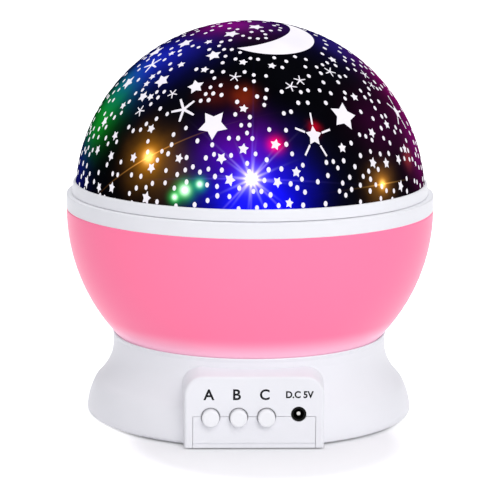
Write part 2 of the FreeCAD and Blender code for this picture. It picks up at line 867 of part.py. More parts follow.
def make_dc_jack():
    half = size["jack_width"] / 2
    x, z = size["jack_place"], size["jack_height"]
    nose_face = panel_face + size["fit_gap"]
    case = block(x - half, x + half, panel_back + size["door_gap"], board_face, z - half, z + half)
    nose = cylinder(size["jack_nose_radius"], size["panel_wall"] + overcut, x, nose_face, z, "y")
    bore = cylinder(size["jack_bore_radius"], size["jack_bore_depth"], x, nose_face, z, "y")
    node("dc_jack", cut(joined(case, nose), bore))
    pin_start = nose_face + size["jack_bore_depth"] - size["jack_pin_length"]
    node("dc_jack_pin", cylinder(size["jack_pin_radius"], size["jack_pin_length"], x, pin_start, z, "y"))


# Drive: motor, pinion and the gear under the globe
def make_motor():
    can_bottom = cover_top + size["motor_foot_gap"]
    can_height = gearbox_bottom - can_bottom
    node("motor_can", cylinder(size["motor_radius"], can_height, motor_x, motor_y, can_bottom))
    box = cylinder(size["motor_radius"], size["gearbox_height"], motor_x, motor_y, gearbox_bottom)
    bearing = cylinder(size["bearing_radius"], size["gearbox_height"] + size["bearing_height"],
                       motor_x, motor_y, gearbox_bottom)
    ear_z = deck_bottom - size["motor_ear_thickness"]
    ear_half = size["motor_ear_circle"] + size["screw_head_radius"] + size["motor_ear_margin"]
    ear_side = size["motor_ear_width"] / 2
    ears = block(-ear_half, ear_half, -ear_side, ear_side, 0, size["motor_ear_thickness"])
    ears.Placement = FreeCAD.Placement(
        FreeCAD.Vector(), FreeCAD.Rotation(FreeCAD.Vector(0, 0, 1), size["motor_angle"].number + 90))
    corner_x, corner_y = on_circle(ear_half, size["motor_angle"] + 90)
    side_x, side_y = on_circle(ear_side, size["motor_angle"] + 180)
    place(ears, motor_x - corner_x - side_x, motor_y - corner_y - side_y, ear_z)
    turn = size["motor_angle"] + 90
    bind(ears, "Placement.Rotation.Angle", turn)
    holes = [cylinder(screw_hole, size["motor_ear_thickness"] + overcut * 2, x, y, ear_z - overcut)
             for x, y in motor_ear_spots()]
    holes.append(cylinder(size["shaft_radius"] + size["running_gap"],
                          size["shaft_depth"] + size["bearing_height"] + overcut,
                          motor_x, motor_y, deck_bottom - size["shaft_depth"]))
    node("motor_gearbox", cut(joined(box, bearing, ears), *holes))
    node("motor_screws", group(*[screw(ear_z, size["motor_ear_thickness"] + size["screw_bite"], x, y)
                                 for x, y in motor_ear_spots()]))
    shaft_bottom = deck_bottom - size["shaft_depth"] + size["door_gap"]
    shaft_length = shaft_top - shaft_bottom
    node("motor_shaft", cylinder(size["shaft_radius"], shaft_length, motor_x, motor_y, shaft_bottom))


def involute_point(base_radius, radius, turn):
    """Point of the involute of base_radius at a radius, turned by an angle in radians."""
    roll = math.sqrt(max((radius / base_radius) ** 2 - 1, 0))
    angle = roll - math.atan(roll) + turn
    return FreeCAD.Vector(radius * math.cos(angle), radius * math.sin(angle), 0)


def gear_face(teeth, shift, bore):
    """Face of a spur gear with involute flanks. A tooth is centred on the X axis."""
    module = size["gear_module"].number
    pressure = math.radians(size["pressure_angle"].number)
    pitch_radius = module * teeth / 2
    base = pitch_radius * math.cos(pressure)
    tip = pitch_radius + module * (size["tooth_rise"].number + shift)
    foot = pitch_radius - module * (size["tooth_depth"].number - shift)
    play = size["gear_backlash"].number / 2
    half_tooth = (math.pi * module / 2 + 2 * shift * module * math.tan(pressure) - play) / (2 * pitch_radius)
    spread = half_tooth + math.tan(pressure) - pressure
    low = max(base, foot)
    radii = (low, (low + tip) / 2, tip)
    edges = []
    step = 2 * math.pi / teeth
    for tooth in range(teeth):
        middle = tooth * step
        rising = [involute_point(base, radius, 0) for radius in radii]
        right = [turned_point(point, middle - spread) for point in rising]
        left = [turned_point(FreeCAD.Vector(point.x, -point.y, 0), middle + spread) for point in rising]
        root_right = FreeCAD.Vector(right[0]).normalize() * foot
        root_left = FreeCAD.Vector(left[0]).normalize() * foot
        next_right = turned_point(root_right, step)
        if low > foot:
            edges.append(Part.makeLine(root_right, right[0]))
        edges.append(Part.Arc(*right).toShape())
        edges.append(Part.makeLine(right[2], left[2]))
        edges.append(Part.Arc(*reversed(left)).toShape())
        if low > foot:
            edges.append(Part.makeLine(left[0], root_left))
        edges.append(Part.makeLine(root_left, next_right))
    outside = Part.Face(Part.Wire(edges))
    hole = Part.makeCircle(bore)
    return outside.cut(Part.Face(Part.Wire(hole)))


def turned_point(point, angle):
    cos, sin = math.cos(angle), math.sin(angle)
    return FreeCAD.Vector(point.x * cos - point.y * sin, point.x * sin + point.y * cos, 0)


def make_gears():
    """The pinion's teeth are set forward and the gear's back by the same shift, against undercut."""
    shift = size["tooth_shift"].number
    teeth = int(size["gear_teeth"].number)
    thickness = size["gear_thickness"].number
    blank = gear_face(teeth, -shift, size["gear_bore"].number).extrude(FreeCAD.Vector(0, 0, thickness))
    tooth_turn = size["motor_angle"].number
    blank.rotate(FreeCAD.Vector(), FreeCAD.Vector(0, 0, 1), tooth_turn)
    for x, y in gear_screw_spots():
        spot = FreeCAD.Vector(x.number, y.number, 0)
        shank = Part.makeCylinder(screw_hole.number, thickness, spot)
        head = Part.makeCylinder(head_hole.number, head_depth.number + size["fit_gap"].number, spot)
        blank = blank.cut(shank.fuse(head))
    gear = scratch("Part::Feature")
    gear.Shape = blank
    gear.Placement = FreeCAD.Placement(FreeCAD.Vector(0, 0, gear_bottom.number), FreeCAD.Rotation())
    node("globe_gear", gear)
    pinion_teeth = int(size["pinion_teeth"].number)
    pinion_bottom = gear_bottom.number - size["pinion_gap"].number
    height = shaft_top.number - pinion_bottom
    pinion_form = gear_face(pinion_teeth, shift, size["shaft_radius"].number)
    pinion = scratch("Part::Feature")
    pinion.Shape = pinion_form.extrude(FreeCAD.Vector(0, 0, height))
    half_step = 180.0 / pinion_teeth
    pinion.Placement = FreeCAD.Placement(
        FreeCAD.Vector(motor_x.number, motor_y.number, pinion_bottom),
        FreeCAD.Rotation(FreeCAD.Vector(0, 0, 1), tooth_turn + 180 + half_step))
    node("drive_pinion", pinion)


def make_gear_screws():
    seat = gear_bottom + head_depth
    length = size["gear_thickness"] - size["screw_head_height"] + size["shell_wall"] * 0.6
    node("gear_screws", group(*[screw(seat, length, x, y) for x, y in gear_screw_spots()]))


# Lamp column, with the bearing that the globe turns on
def make_column():
    radius = size["column_radius"]
    bore = size["column_bore"]
    top = deck_top + size["column_length"]
    groove_bottom = clip_bottom - size["door_gap"] / 2
    groove_top = clip_bottom + size["clip_thickness"] + size["door_gap"] / 2
    groove = radius - size["clip_groove_depth"]
    flange_top = deck_top + size["column_flange_height"]
    stock = turned([
        (bore, deck_top),
        (size["column_flange_radius"], deck_top),
        (size["column_flange_radius"], flange_top),
        (radius, flange_top),
        (radius, groove_bottom),
        (groove, groove_bottom),
        (groove, groove_top),
        (radius, groove_top),
        (radius, top),
        (bore, top),
    ])
    holes = [cylinder(screw_hole, size["column_flange_height"] + overcut * 2, x, y, deck_top - overcut)
             for x, y in column_screw_spots()]
    node("led_column", cut(stock, *holes))
    length = size["column_flange_height"] + size["screw_bite"]
    node("column_screws", group(*[screw(flange_top, length, x, y, head_up=True)
                                  for x, y in column_screw_spots()]))


bush_bottom = deck_top + size["column_flange_height"] + size["washer_thickness"]
bush_top = bowl_floor_top + size["bush_top"]
clip_bottom = bush_top + size["door_gap"]
bush_bore = size["column_radius"] + size["running_gap"]


def make_bearing():
    flange_top = deck_top + size["column_flange_height"]
    node("thrust_washer", tube(size["washer_radius"], bush_bore, size["washer_thickness"], flange_top))
    radius = size["bush_radius"]
    flange = size["bush_flange_radius"]
    node("hub_bush", turned([
        (bush_bore, bush_bottom),
        (radius, bush_bottom),
        (radius, bowl_floor_top),
        (flange, bowl_floor_top),
        (flange, bowl_floor_top + size["bush_flange_height"]),
        (radius, bowl_floor_top + size["bush_flange_height"]),
        (radius, bush_top),
        (bush_bore, bush_top),
    ]))
    groove = size["column_radius"] - size["clip_groove_depth"]
    ring = tube(size["clip_radius"], groove + size["running_gap"], size["clip_thickness"], clip_bottom)
    mouth = block(0, size["clip_radius"] + overcut, -size["clip_opening"] / 2, size["clip_opening"] / 2,
                  clip_bottom - overcut, clip_bottom + size["clip_thickness"] + overcut)
    node("hub_clip", cut(ring, mouth))


lamp_deck = deck_top + size["column_length"] + size["door_gap"]
lamp_holder_top = lamp_deck + size["lamp_holder_wall"]
lamp_board_top = lamp_holder_top + size["lamp_board_thickness"]


def make_lamp():
    socket_bottom = lamp_deck - size["lamp_holder_socket"]
    socket_radius = size["column_radius"] + size["lamp_holder_wall"]
    holder = turned([
        (size["column_radius"], socket_bottom),
        (socket_radius, socket_bottom),
        (socket_radius, lamp_deck),
        (size["lamp_holder_radius"], lamp_deck),
        (size["lamp_holder_radius"], lamp_holder_top),
        (size["column_bore"], lamp_holder_top),
        (size["column_bore"], lamp_deck),
        (size["column_radius"], lamp_deck),
    ])
    spots = [(size["lamp_screw_place"], 0), (-size["lamp_screw_place"], 0)]
    bores = [cylinder(screw_hole, size["lamp_holder_wall"] + overcut * 2, x, y, lamp_deck - overcut)
             for x, y in spots]
    node("lamp_holder", cut(holder, *bores))
    board = cylinder(size["lamp_holder_radius"], size["lamp_board_thickness"], z=lamp_holder_top)
    bores = [cylinder(screw_hole, size["lamp_holder_wall"] + overcut * 2, x, y, lamp_deck) for x, y in spots]
    node("led_board", cut(board, *bores))
    length = size["lamp_holder_wall"] + size["lamp_board_thickness"]
    node("lamp_screws", group(*[screw(lamp_board_top, length, x, y, head_up=True) for x, y in spots]))


def make_leds():
    body_top = lamp_board_top + size["led_flange_height"] + size["led_body_height"]
    radius = size["led_radius"]
    for number, colour in enumerate(("white", "red", "green", "blue")):
        x, y = on_circle(size["led_circle"], 45 + 90 * number)
        led = turned([
            (0, lamp_board_top),
            (size["led_flange_radius"], lamp_board_top),
            (size["led_flange_radius"], lamp_board_top + size["led_flange_height"]),
            (radius, lamp_board_top + size["led_flange_height"]),
            (radius, body_top, radius),
            (0, body_top + radius),
        ])
        node("led_" + colour, place(led, x, y, 0))


# Globe: bowl, rim and reflector
def make_lower_bowl():
    radius = size["bowl_radius"]
    inner = bowl_inner_radius
    ledge_bottom = reflector_bottom - size["ledge_height"]
    floor_edge = across_sphere(inner, globe_middle, bowl_floor_top)
    low_wall = across_sphere(inner, globe_middle, ledge_bottom - size["ledge_width"])
    seat_wall = across_sphere(inner, globe_middle, reflector_bottom)
    rim_wall = across_sphere(inner, globe_middle, rim_bottom)
    edge = size["rim_edge"]
    rim_outside = across_sphere(radius, globe_middle, rim_bottom - edge)
    shell = turned([
        (size["bush_radius"], bowl_bottom),
        (size["bowl_foot_radius"], bowl_bottom, radius),
        (rim_outside, rim_bottom - edge),
        (rim_outside - edge, rim_bottom),
        (rim_wall, rim_bottom, -inner),
        (seat_wall, reflector_bottom),
        (seat_wall - size["ledge_width"], reflector_bottom),
        (seat_wall - size["ledge_width"], ledge_bottom),
        (low_wall, ledge_bottom - size["ledge_width"], -inner),
        (floor_edge, bowl_floor_top),
        (size["bush_radius"], bowl_floor_top),
    ])
    holes = [cylinder(screw_hole, size["shell_wall"] * 0.8, x, y, bowl_bottom) for x, y in gear_screw_spots()]
    return node("lower_bowl", cut(shell, *holes))


def make_reflector_disc():
    outer = across_sphere(bowl_inner_radius, globe_middle, reflector_bottom) - size["cover_gap"]
    return node("reflector_disc", tube(outer, size["reflector_bore"], size["reflector_thickness"],
                                       reflector_bottom))


def ring_sector(inner, outer, low, high, middle, span):
    """Part of a ring between two radii and two heights, about a middle angle."""
    stock = cylinder(outer, high - low, z=low, span=span)
    bind(stock, "Placement.Rotation.Angle", middle - span / 2)
    core = cylinder(inner, high - low + overcut * 2, z=low - overcut)
    return cut(stock, core)


lug_angles = (60, 180, 300)
lug_bottom = ring_bottom - size["skirt_depth"] + size["button_gap"] * 2
lug_outer = skirt_radius + size["lug_reach"]


def make_rim_ring():
    """A bayonet groove for each lug: along the ring, then up through its top."""
    radius = size["bowl_radius"]
    edge = size["rim_edge"]
    spigot_radius = across_sphere(bowl_inner_radius, globe_middle, rim_bottom) - size["cover_gap"] / 2
    shell = turned([
        (rim_inner_radius, reflector_top),
        (spigot_radius, reflector_top),
        (spigot_radius, rim_bottom),
        (radius - edge / 2, rim_bottom),
        (radius, rim_bottom + edge / 2),
        (radius, rim_top - edge, edge),
        (radius - edge, rim_top),
        (rim_inner_radius, rim_top),
    ])
    gap = size["cover_gap"]
    play = size["twist_play"]
    grooves = []
    for angle in lug_angles:
        groove_span = size["lug_span"] + size["twist_span"] + play * 2
        groove_middle = angle + size["twist_span"] / 2
        grooves.append(ring_sector(skirt_inner_radius, lug_outer + gap, lug_bottom - gap,
                                   lug_bottom + size["lug_height"] + gap, groove_middle, groove_span))
        grooves.append(ring_sector(skirt_inner_radius, lug_outer + gap, lug_bottom, rim_top + overcut,
                                   angle + size["twist_span"], size["lug_span"] + play * 2))
    return node("rim_ring", cut(shell, *grooves))


def make_dome_ring():
    seat_radius = across_sphere(dome_radius, dome_middle, dome_seat)
    step = size["dome_ring_step"]
    shell = turned([
        (skirt_inner_radius, ring_bottom - size["skirt_depth"]),
        (skirt_radius, ring_bottom - size["skirt_depth"]),
        (skirt_radius, ring_bottom),
        (size["bowl_radius"] - size["dome_ring_inset"], ring_bottom),
        (seat_radius + step * 1.5, ring_top - step, step),
        (seat_radius + step / 2, ring_top),
        (seat_radius, ring_top),
        (seat_radius, dome_seat),
        (skirt_inner_radius, dome_seat),
    ])
    lug_top = lug_bottom + size["lug_height"]
    lug_root = skirt_radius - size["rim_edge"]
    lugs = [ring_sector(lug_root, lug_outer, lug_bottom, lug_top, as_size(angle), size["lug_span"])
            for angle in lug_angles]
    return node("dome_ring", joined(shell, *lugs))


def make_star_dome():
    outer = dome_radius
    inner = outer - size["dome_wall"]
    edge = across_sphere(outer, dome_middle, dome_seat)
    inner_edge = across_sphere(inner, dome_middle, dome_seat)
    return node("star_dome", turned([
        (inner_edge, dome_seat),
        (edge, dome_seat, outer),
        (0, dome_middle + outer),
        (0, dome_middle + inner, -inner),
    ]))


# Leads: round wires on straight runs with an arc at each turn
def lead(route):
    """A round wire along a route, with an arc at each corner."""
    bend = size["lead_bend"].number
    spots = [FreeCAD.Vector(*[as_number(value) for value in spot]) for spot in route]
    edges = []
    start = spots[0]
    for before, corner, after in zip(spots, spots[1:], spots[2:]):
        way_in = (corner - before).normalize()
        way_out = (after - corner).normalize()
        turn = way_in.getAngle(way_out)
        reach = bend * math.tan(turn / 2)
        entry = corner - way_in * reach
        leave = corner + way_out * reach
        side = (way_out - way_in).normalize()
        crown = corner + side * (bend / math.cos(turn / 2) - bend)
        edges.append(Part.makeLine(start, entry))
        edges.append(Part.Arc(entry, crown, leave).toShape())
        start = leave
    edges.append(Part.makeLine(start, spots[-1]))
    section = Part.Wire(Part.makeCircle(size["lead_radius"].number, spots[0], spots[1] - spots[0]))
    item = scratch("Part::Feature")
    item.Shape = Part.Wire(edges).makePipeShell([section], True, False)
    return item


def make_leads():
    """One lead goes down through the column and under the deck, the other straight from the motor."""
    under_deck = deck_bottom - size["wire_room"] / 2
    low = under_deck - size["lead_drop"]
    ahead = bay_front - size["lead_bend"] * 2
    node("lamp_lead", lead([(0, 0, lamp_holder_top), (0, 0, under_deck), (0, ahead, under_deck),
                            (0, ahead - size["lead_drop"] * 2, low), (0, board_back, low)]))
    can_side = motor_x - size["motor_radius"]
    height = cover_top + size["lead_drop"]
    turn_place = can_side - size["lead_bend"] * 1.2
    node("motor_lead", lead([(can_side, motor_y, height), (turn_place, motor_y, height),
                             (turn_place, board_back, height)]))


make_base_housing()
make_bottom_cover()
make_cover_screws()
make_rubber_feet()
make_battery_door()
make_battery_door_screw()
make_battery_cells()
make_battery_springs()
make_contact_plates()
make_control_board()
make_board_chips()
make_tact_switches()
make_switch_plungers()
make_buttons()
make_dc_jack()
make_motor()
make_gears()
make_gear_screws()
make_column()
make_bearing()
make_lamp()
make_leds()
make_lower_bowl()
make_reflector_disc()
make_rim_ring()
make_dome_ring()
make_star_dome()
make_leads()

document.recompute()
for item in document.Objects:
    if "Invalid" in item.State or "Error" in item.State:
        raise RuntimeError("%s (%s) failed: %s" % (item.Label, item.Name, item.State))
for item in nodes:
    if item.Shape.isNull() or not item.Shape.isValid() or not item.Shape.Solids:
        raise RuntimeError("%s has no valid solid" % item.Label)

os.makedirs("parts", exist_ok=True)
for item in nodes:
    item.Shape.exportStep("parts/%s.step" % item.Label)
    box = item.Shape.BoundBox
    print("%-20s solids %d volume %10.1f  x %.2f..%.2f y %.2f..%.2f z %.2f..%.2f" % (
        item.Label, len(item.Shape.Solids), item.Shape.Volume,
        box.XMin, box.XMax, box.YMin, box.YMax, box.ZMin, box.ZMax))
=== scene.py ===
import bpy
import json
import math
import random
from mathutils import Matrix, Quaternion, Vector


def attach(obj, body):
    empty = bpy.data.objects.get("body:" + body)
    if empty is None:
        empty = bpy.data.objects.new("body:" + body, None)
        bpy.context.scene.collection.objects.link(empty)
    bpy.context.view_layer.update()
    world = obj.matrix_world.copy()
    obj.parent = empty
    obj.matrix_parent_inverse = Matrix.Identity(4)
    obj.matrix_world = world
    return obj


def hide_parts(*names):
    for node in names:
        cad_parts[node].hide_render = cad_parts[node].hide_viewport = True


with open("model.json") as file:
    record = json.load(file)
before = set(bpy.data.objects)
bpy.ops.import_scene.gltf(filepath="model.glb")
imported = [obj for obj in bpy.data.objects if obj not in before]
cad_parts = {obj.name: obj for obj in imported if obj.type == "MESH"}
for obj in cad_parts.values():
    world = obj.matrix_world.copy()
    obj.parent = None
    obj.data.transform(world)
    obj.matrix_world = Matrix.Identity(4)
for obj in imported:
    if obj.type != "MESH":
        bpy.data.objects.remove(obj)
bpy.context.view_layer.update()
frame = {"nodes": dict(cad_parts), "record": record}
cadNodes = frame["nodes"]
mm = 0.001


# small helpers for the mesh tools
def pickNothing():
    if bpy.context.mode != "OBJECT":
        bpy.ops.object.mode_set(mode="OBJECT")
    bpy.ops.object.select_all(action="DESELECT")


def pickOnly(*pieces):
    pickNothing()
    for piece in pieces:
        piece.select_set(True)
    bpy.context.view_layer.objects.active = pieces[0]


def newest(name):
    piece = bpy.context.object
    piece.name = name
    piece.data.name = name
    return piece


def applyModifier(piece, kind, **settings):
    pickOnly(piece)
    modifier = piece.modifiers.new(kind.lower(), kind)
    for key, value in settings.items():
        setattr(modifier, key, value)
    bpy.ops.object.modifier_apply(modifier=modifier.name)


def settle(piece):
    pickOnly(piece)
    bpy.ops.object.transform_apply(location=True, rotation=True, scale=True)


def joinAll(name, pieces):
    pickOnly(*pieces)
    bpy.ops.object.join()
    return newest(name)


def copyOf(piece, matrix):
    twin = piece.copy()
    twin.data = piece.data.copy()
    twin.data.transform(matrix)
    bpy.context.scene.collection.objects.link(twin)
    return twin


def discard(*pieces):
    for piece in pieces:
        bpy.data.objects.remove(piece, do_unlink=True)


def paint(piece, material):
    piece.data.materials.clear()
    piece.data.materials.append(material)


def editAll():
    bpy.ops.object.mode_set(mode="EDIT")
    bpy.ops.mesh.select_all(action="SELECT")


def leaveEdit():
    bpy.ops.object.mode_set(mode="OBJECT")


def selectNone():
    bpy.ops.object.mode_set(mode="EDIT")
    bpy.ops.mesh.select_all(action="DESELECT")
    leaveEdit()


def smooth(piece, degrees):
    pickOnly(piece)
    bpy.ops.object.shade_smooth_by_angle(angle=math.radians(degrees))


# small helpers for the node trees
def feed(tree, socket, value):
    if isinstance(value, bpy.types.NodeSocket):
        tree.links.new(value, socket)
    else:
        socket.default_value = value


def addNode(tree, kind, values=None, **settings):
    node = tree.nodes.new(kind)
    for key, value in settings.items():
        setattr(node, key, value)
    for key, value in (values or {}).items():
        feed(tree, node.inputs[key], value)
    return node


def mathNode(tree, operation, *values):
    return addNode(tree, "ShaderNodeMath", dict(enumerate(values)), operation=operation).outputs[0]


def vectorNode(tree, operation, *values, outlet="Vector"):
    node = addNode(tree, "ShaderNodeVectorMath", dict(enumerate(values)), operation=operation)
    return node.outputs[outlet]


def scaled(tree, vector, factor):
    values = {"Vector": vector, "Scale": factor}
    return addNode(tree, "ShaderNodeVectorMath", values, operation="SCALE").outputs["Vector"]


def negative(tree, value):
    return mathNode(tree, "MULTIPLY", value, -1.0)


# 1 where the value is 0, and softly falling off to both sides.
def bell(tree, value):
    return mathNode(tree, "EXPONENT", negative(tree, mathNode(tree, "MULTIPLY", value, value)))


# A mix node's sockets share their names between types: its colours are 6 and 7 in, and 2 out.
def mixColours(tree, factor, first, second):
    values = {"Factor": factor, 6: first, 7: second}
    return addNode(tree, "ShaderNodeMix", values, data_type="RGBA").outputs[2]


def newGroup(name, inlets, outlets):
    group = bpy.data.node_groups.new(name, "ShaderNodeTree")
    kinds = {"number": "NodeSocketFloat", "vector": "NodeSocketVector", "colour": "NodeSocketColor"}
    for direction, sockets in (("INPUT", inlets), ("OUTPUT", outlets)):
        for label, kind in sockets.items():
            group.interface.new_socket(name=label, in_out=direction, socket_type=kinds[kind])
    return group, group.nodes.new("NodeGroupInput").outputs, group.nodes.new("NodeGroupOutput").inputs


def useGroup(tree, group, values):
    return addNode(tree, "ShaderNodeGroup", values, node_tree=group).outputs


def newMaterial(name):
    material = bpy.data.materials.new(name)
    material.use_nodes = True
    return material, material.node_tree, material.node_tree.nodes["Principled BSDF"].inputs


# The tree, the shader's inlets and the object coordinates of a material that plastic() made.
def insides(material):
    tree = material.node_tree
    place = [node for node in tree.nodes if node.type == "TEX_COORD"][0].outputs["Object"]
    return tree, tree.nodes["Principled BSDF"].inputs, place


def emit(tree, inlets, colour, strength=1.0):
    tree.links.new(colour, inlets["Emission Color"])
    inlets["Emission Strength"].default_value = strength


skinLook = {"patchDetail": 3.0, "patchRough": 0.55, "grainDetail": 2.0, "grainRough": 0.5,
            "shadeFrom": 0.35, "shadeTo": 0.65, "depth": 0.0002}
noiseMiddle = 0.5


# Fine orange-peel and broad, faint shade changes of a moulded surface.
def makeMouldedSkin():
    group, entry, leave = newGroup(
        "mouldedSkin",
        {"Vector": "vector", "Color": "colour", "Deep Color": "colour", "Grain": "number",
         "Patch": "number", "Roughness": "number", "Roughness Spread": "number"},
        {"Color": "colour", "Roughness": "number", "Height": "number"})
    broad = addNode(group, "ShaderNodeTexNoise", {
        "Vector": entry["Vector"], "Scale": entry["Patch"], "Detail": skinLook["patchDetail"],
        "Roughness": skinLook["patchRough"]}).outputs["Fac"]
    fine = addNode(group, "ShaderNodeTexNoise", {
        "Vector": entry["Vector"], "Scale": entry["Grain"], "Detail": skinLook["grainDetail"],
        "Roughness": skinLook["grainRough"]}).outputs["Fac"]
    shade = addNode(group, "ShaderNodeMapRange", {
        "Value": broad, "From Min": skinLook["shadeFrom"], "From Max": skinLook["shadeTo"]})
    colour = mixColours(group, shade.outputs["Result"], entry["Color"], entry["Deep Color"])
    group.links.new(colour, leave["Color"])
    offset = mathNode(group, "SUBTRACT", broad, noiseMiddle)
    spread = mathNode(group, "MULTIPLY_ADD", offset, entry["Roughness Spread"], entry["Roughness"])
    group.links.new(spread, leave["Roughness"])
    group.links.new(fine, leave["Height"])
    return group


mouldedSkin = makeMouldedSkin()


def shaded(colour, factor):
    return tuple(value * factor for value in colour[:3]) + (1.0,)


def plastic(name, colour, deep=0.94, grain=900.0, patch=22.0, roughness=0.3, spread=0.06, bump=0.02,
            **sockets):
    material, tree, inlets = newMaterial(name)
    place = addNode(tree, "ShaderNodeTexCoord").outputs["Object"]
    skin = useGroup(tree, mouldedSkin, {
        "Vector": place, "Color": colour + (1.0,), "Deep Color": shaded(colour, deep), "Grain": grain,
        "Patch": patch, "Roughness": roughness, "Roughness Spread": spread})
    tree.links.new(skin["Color"], inlets["Base Color"])
    tree.links.new(skin["Roughness"], inlets["Roughness"])
    relief = addNode(tree, "ShaderNodeBump", {
        "Height": skin["Height"], "Strength": bump, "Distance": skinLook["depth"]})
    tree.links.new(relief.outputs["Normal"], inlets["Normal"])
    for key, value in sockets.items():
        inlets[key.replace("_", " ")].default_value = value
    return material


# Drawn or turned metal: fine streaks run along one axis.
def steel(name, colour, roughness, along, streak=0.12):
    material = plastic(name, colour, deep=0.82, grain=1400.0, patch=60.0, roughness=roughness,
                       spread=streak, bump=0.05, Metallic=1.0)
    tree, inlets, place = insides(material)
    skin = inlets["Base Color"].links[0].from_node
    stretch = addNode(tree, "ShaderNodeMapping", {"Vector": place, "Scale": along})
    tree.links.new(stretch.outputs["Vector"], skin.inputs["Vector"])
    return material


# A round spot of light about Place.
def makeSoftSpot():
    group, entry, leave = newGroup(
        "softSpot", {"Vector": "vector", "Place": "vector", "Size": "number"}, {"Value": "number"})
    reach = vectorNode(group, "DISTANCE", entry["Vector"], entry["Place"], outlet="Value")
    group.links.new(bell(group, mathNode(group, "DIVIDE", reach, entry["Size"])), leave["Value"])
    return group


# Thin rays out of Place, Half Step being half the angle between two. They fade over Reach.
def makeRayBurst():
    group, entry, leave = newGroup(
        "rayBurst",
        {"Vector": "vector", "Place": "vector", "East": "vector", "North": "vector",
         "Half Step": "number", "Turn": "number", "Width": "number", "Reach": "number"},
        {"Value": "number"})
    away = vectorNode(group, "SUBTRACT", entry["Vector"], entry["Place"])
    across = vectorNode(group, "DOT_PRODUCT", away, entry["East"], outlet="Value")
    upward = vectorNode(group, "DOT_PRODUCT", away, entry["North"], outlet="Value")
    reach = vectorNode(group, "LENGTH", away, outlet="Value")
    angle = mathNode(group, "ADD", mathNode(group, "ARCTAN2", upward, across), entry["Turn"])
    folded = mathNode(group, "WRAP", angle, entry["Half Step"], negative(group, entry["Half Step"]))
    aside = mathNode(group, "MULTIPLY", reach, mathNode(group, "SINE", folded))
    body = bell(group, mathNode(group, "DIVIDE", aside, entry["Width"]))
    ratio = mathNode(group, "DIVIDE", reach, entry["Reach"])
    fade = mathNode(group, "EXPONENT", negative(group, ratio))
    group.links.new(mathNode(group, "MULTIPLY", body, fade), leave["Value"])
    return group


softSpot = makeSoftSpot()
rayBurst = makeRayBurst()

domeShape = {"radius": 61.9, "middle": 77.69, "seat": 80.59, "wall": 1.3, "segments": 160, "rings": 96}


# Longitude 0 is the front and grows to the right, latitude 0 is the dome's equator.
def onDome(longitude, latitude):
    east, north = math.radians(longitude), math.radians(latitude)
    return Vector((math.sin(east) * math.cos(north), -math.cos(east) * math.cos(north), math.sin(north)))


def skinAxes(longitude, latitude):
    outward = onDome(longitude, latitude)
    east = Vector((0, 0, 1)).cross(outward).normalized()
    return east, outward.cross(east), outward


def glowPlace(longitude, latitude):
    spot = onDome(longitude, latitude) * (domeShape["radius"] * mm)
    return (spot.x, spot.y, spot.z + domeShape["middle"] * mm)


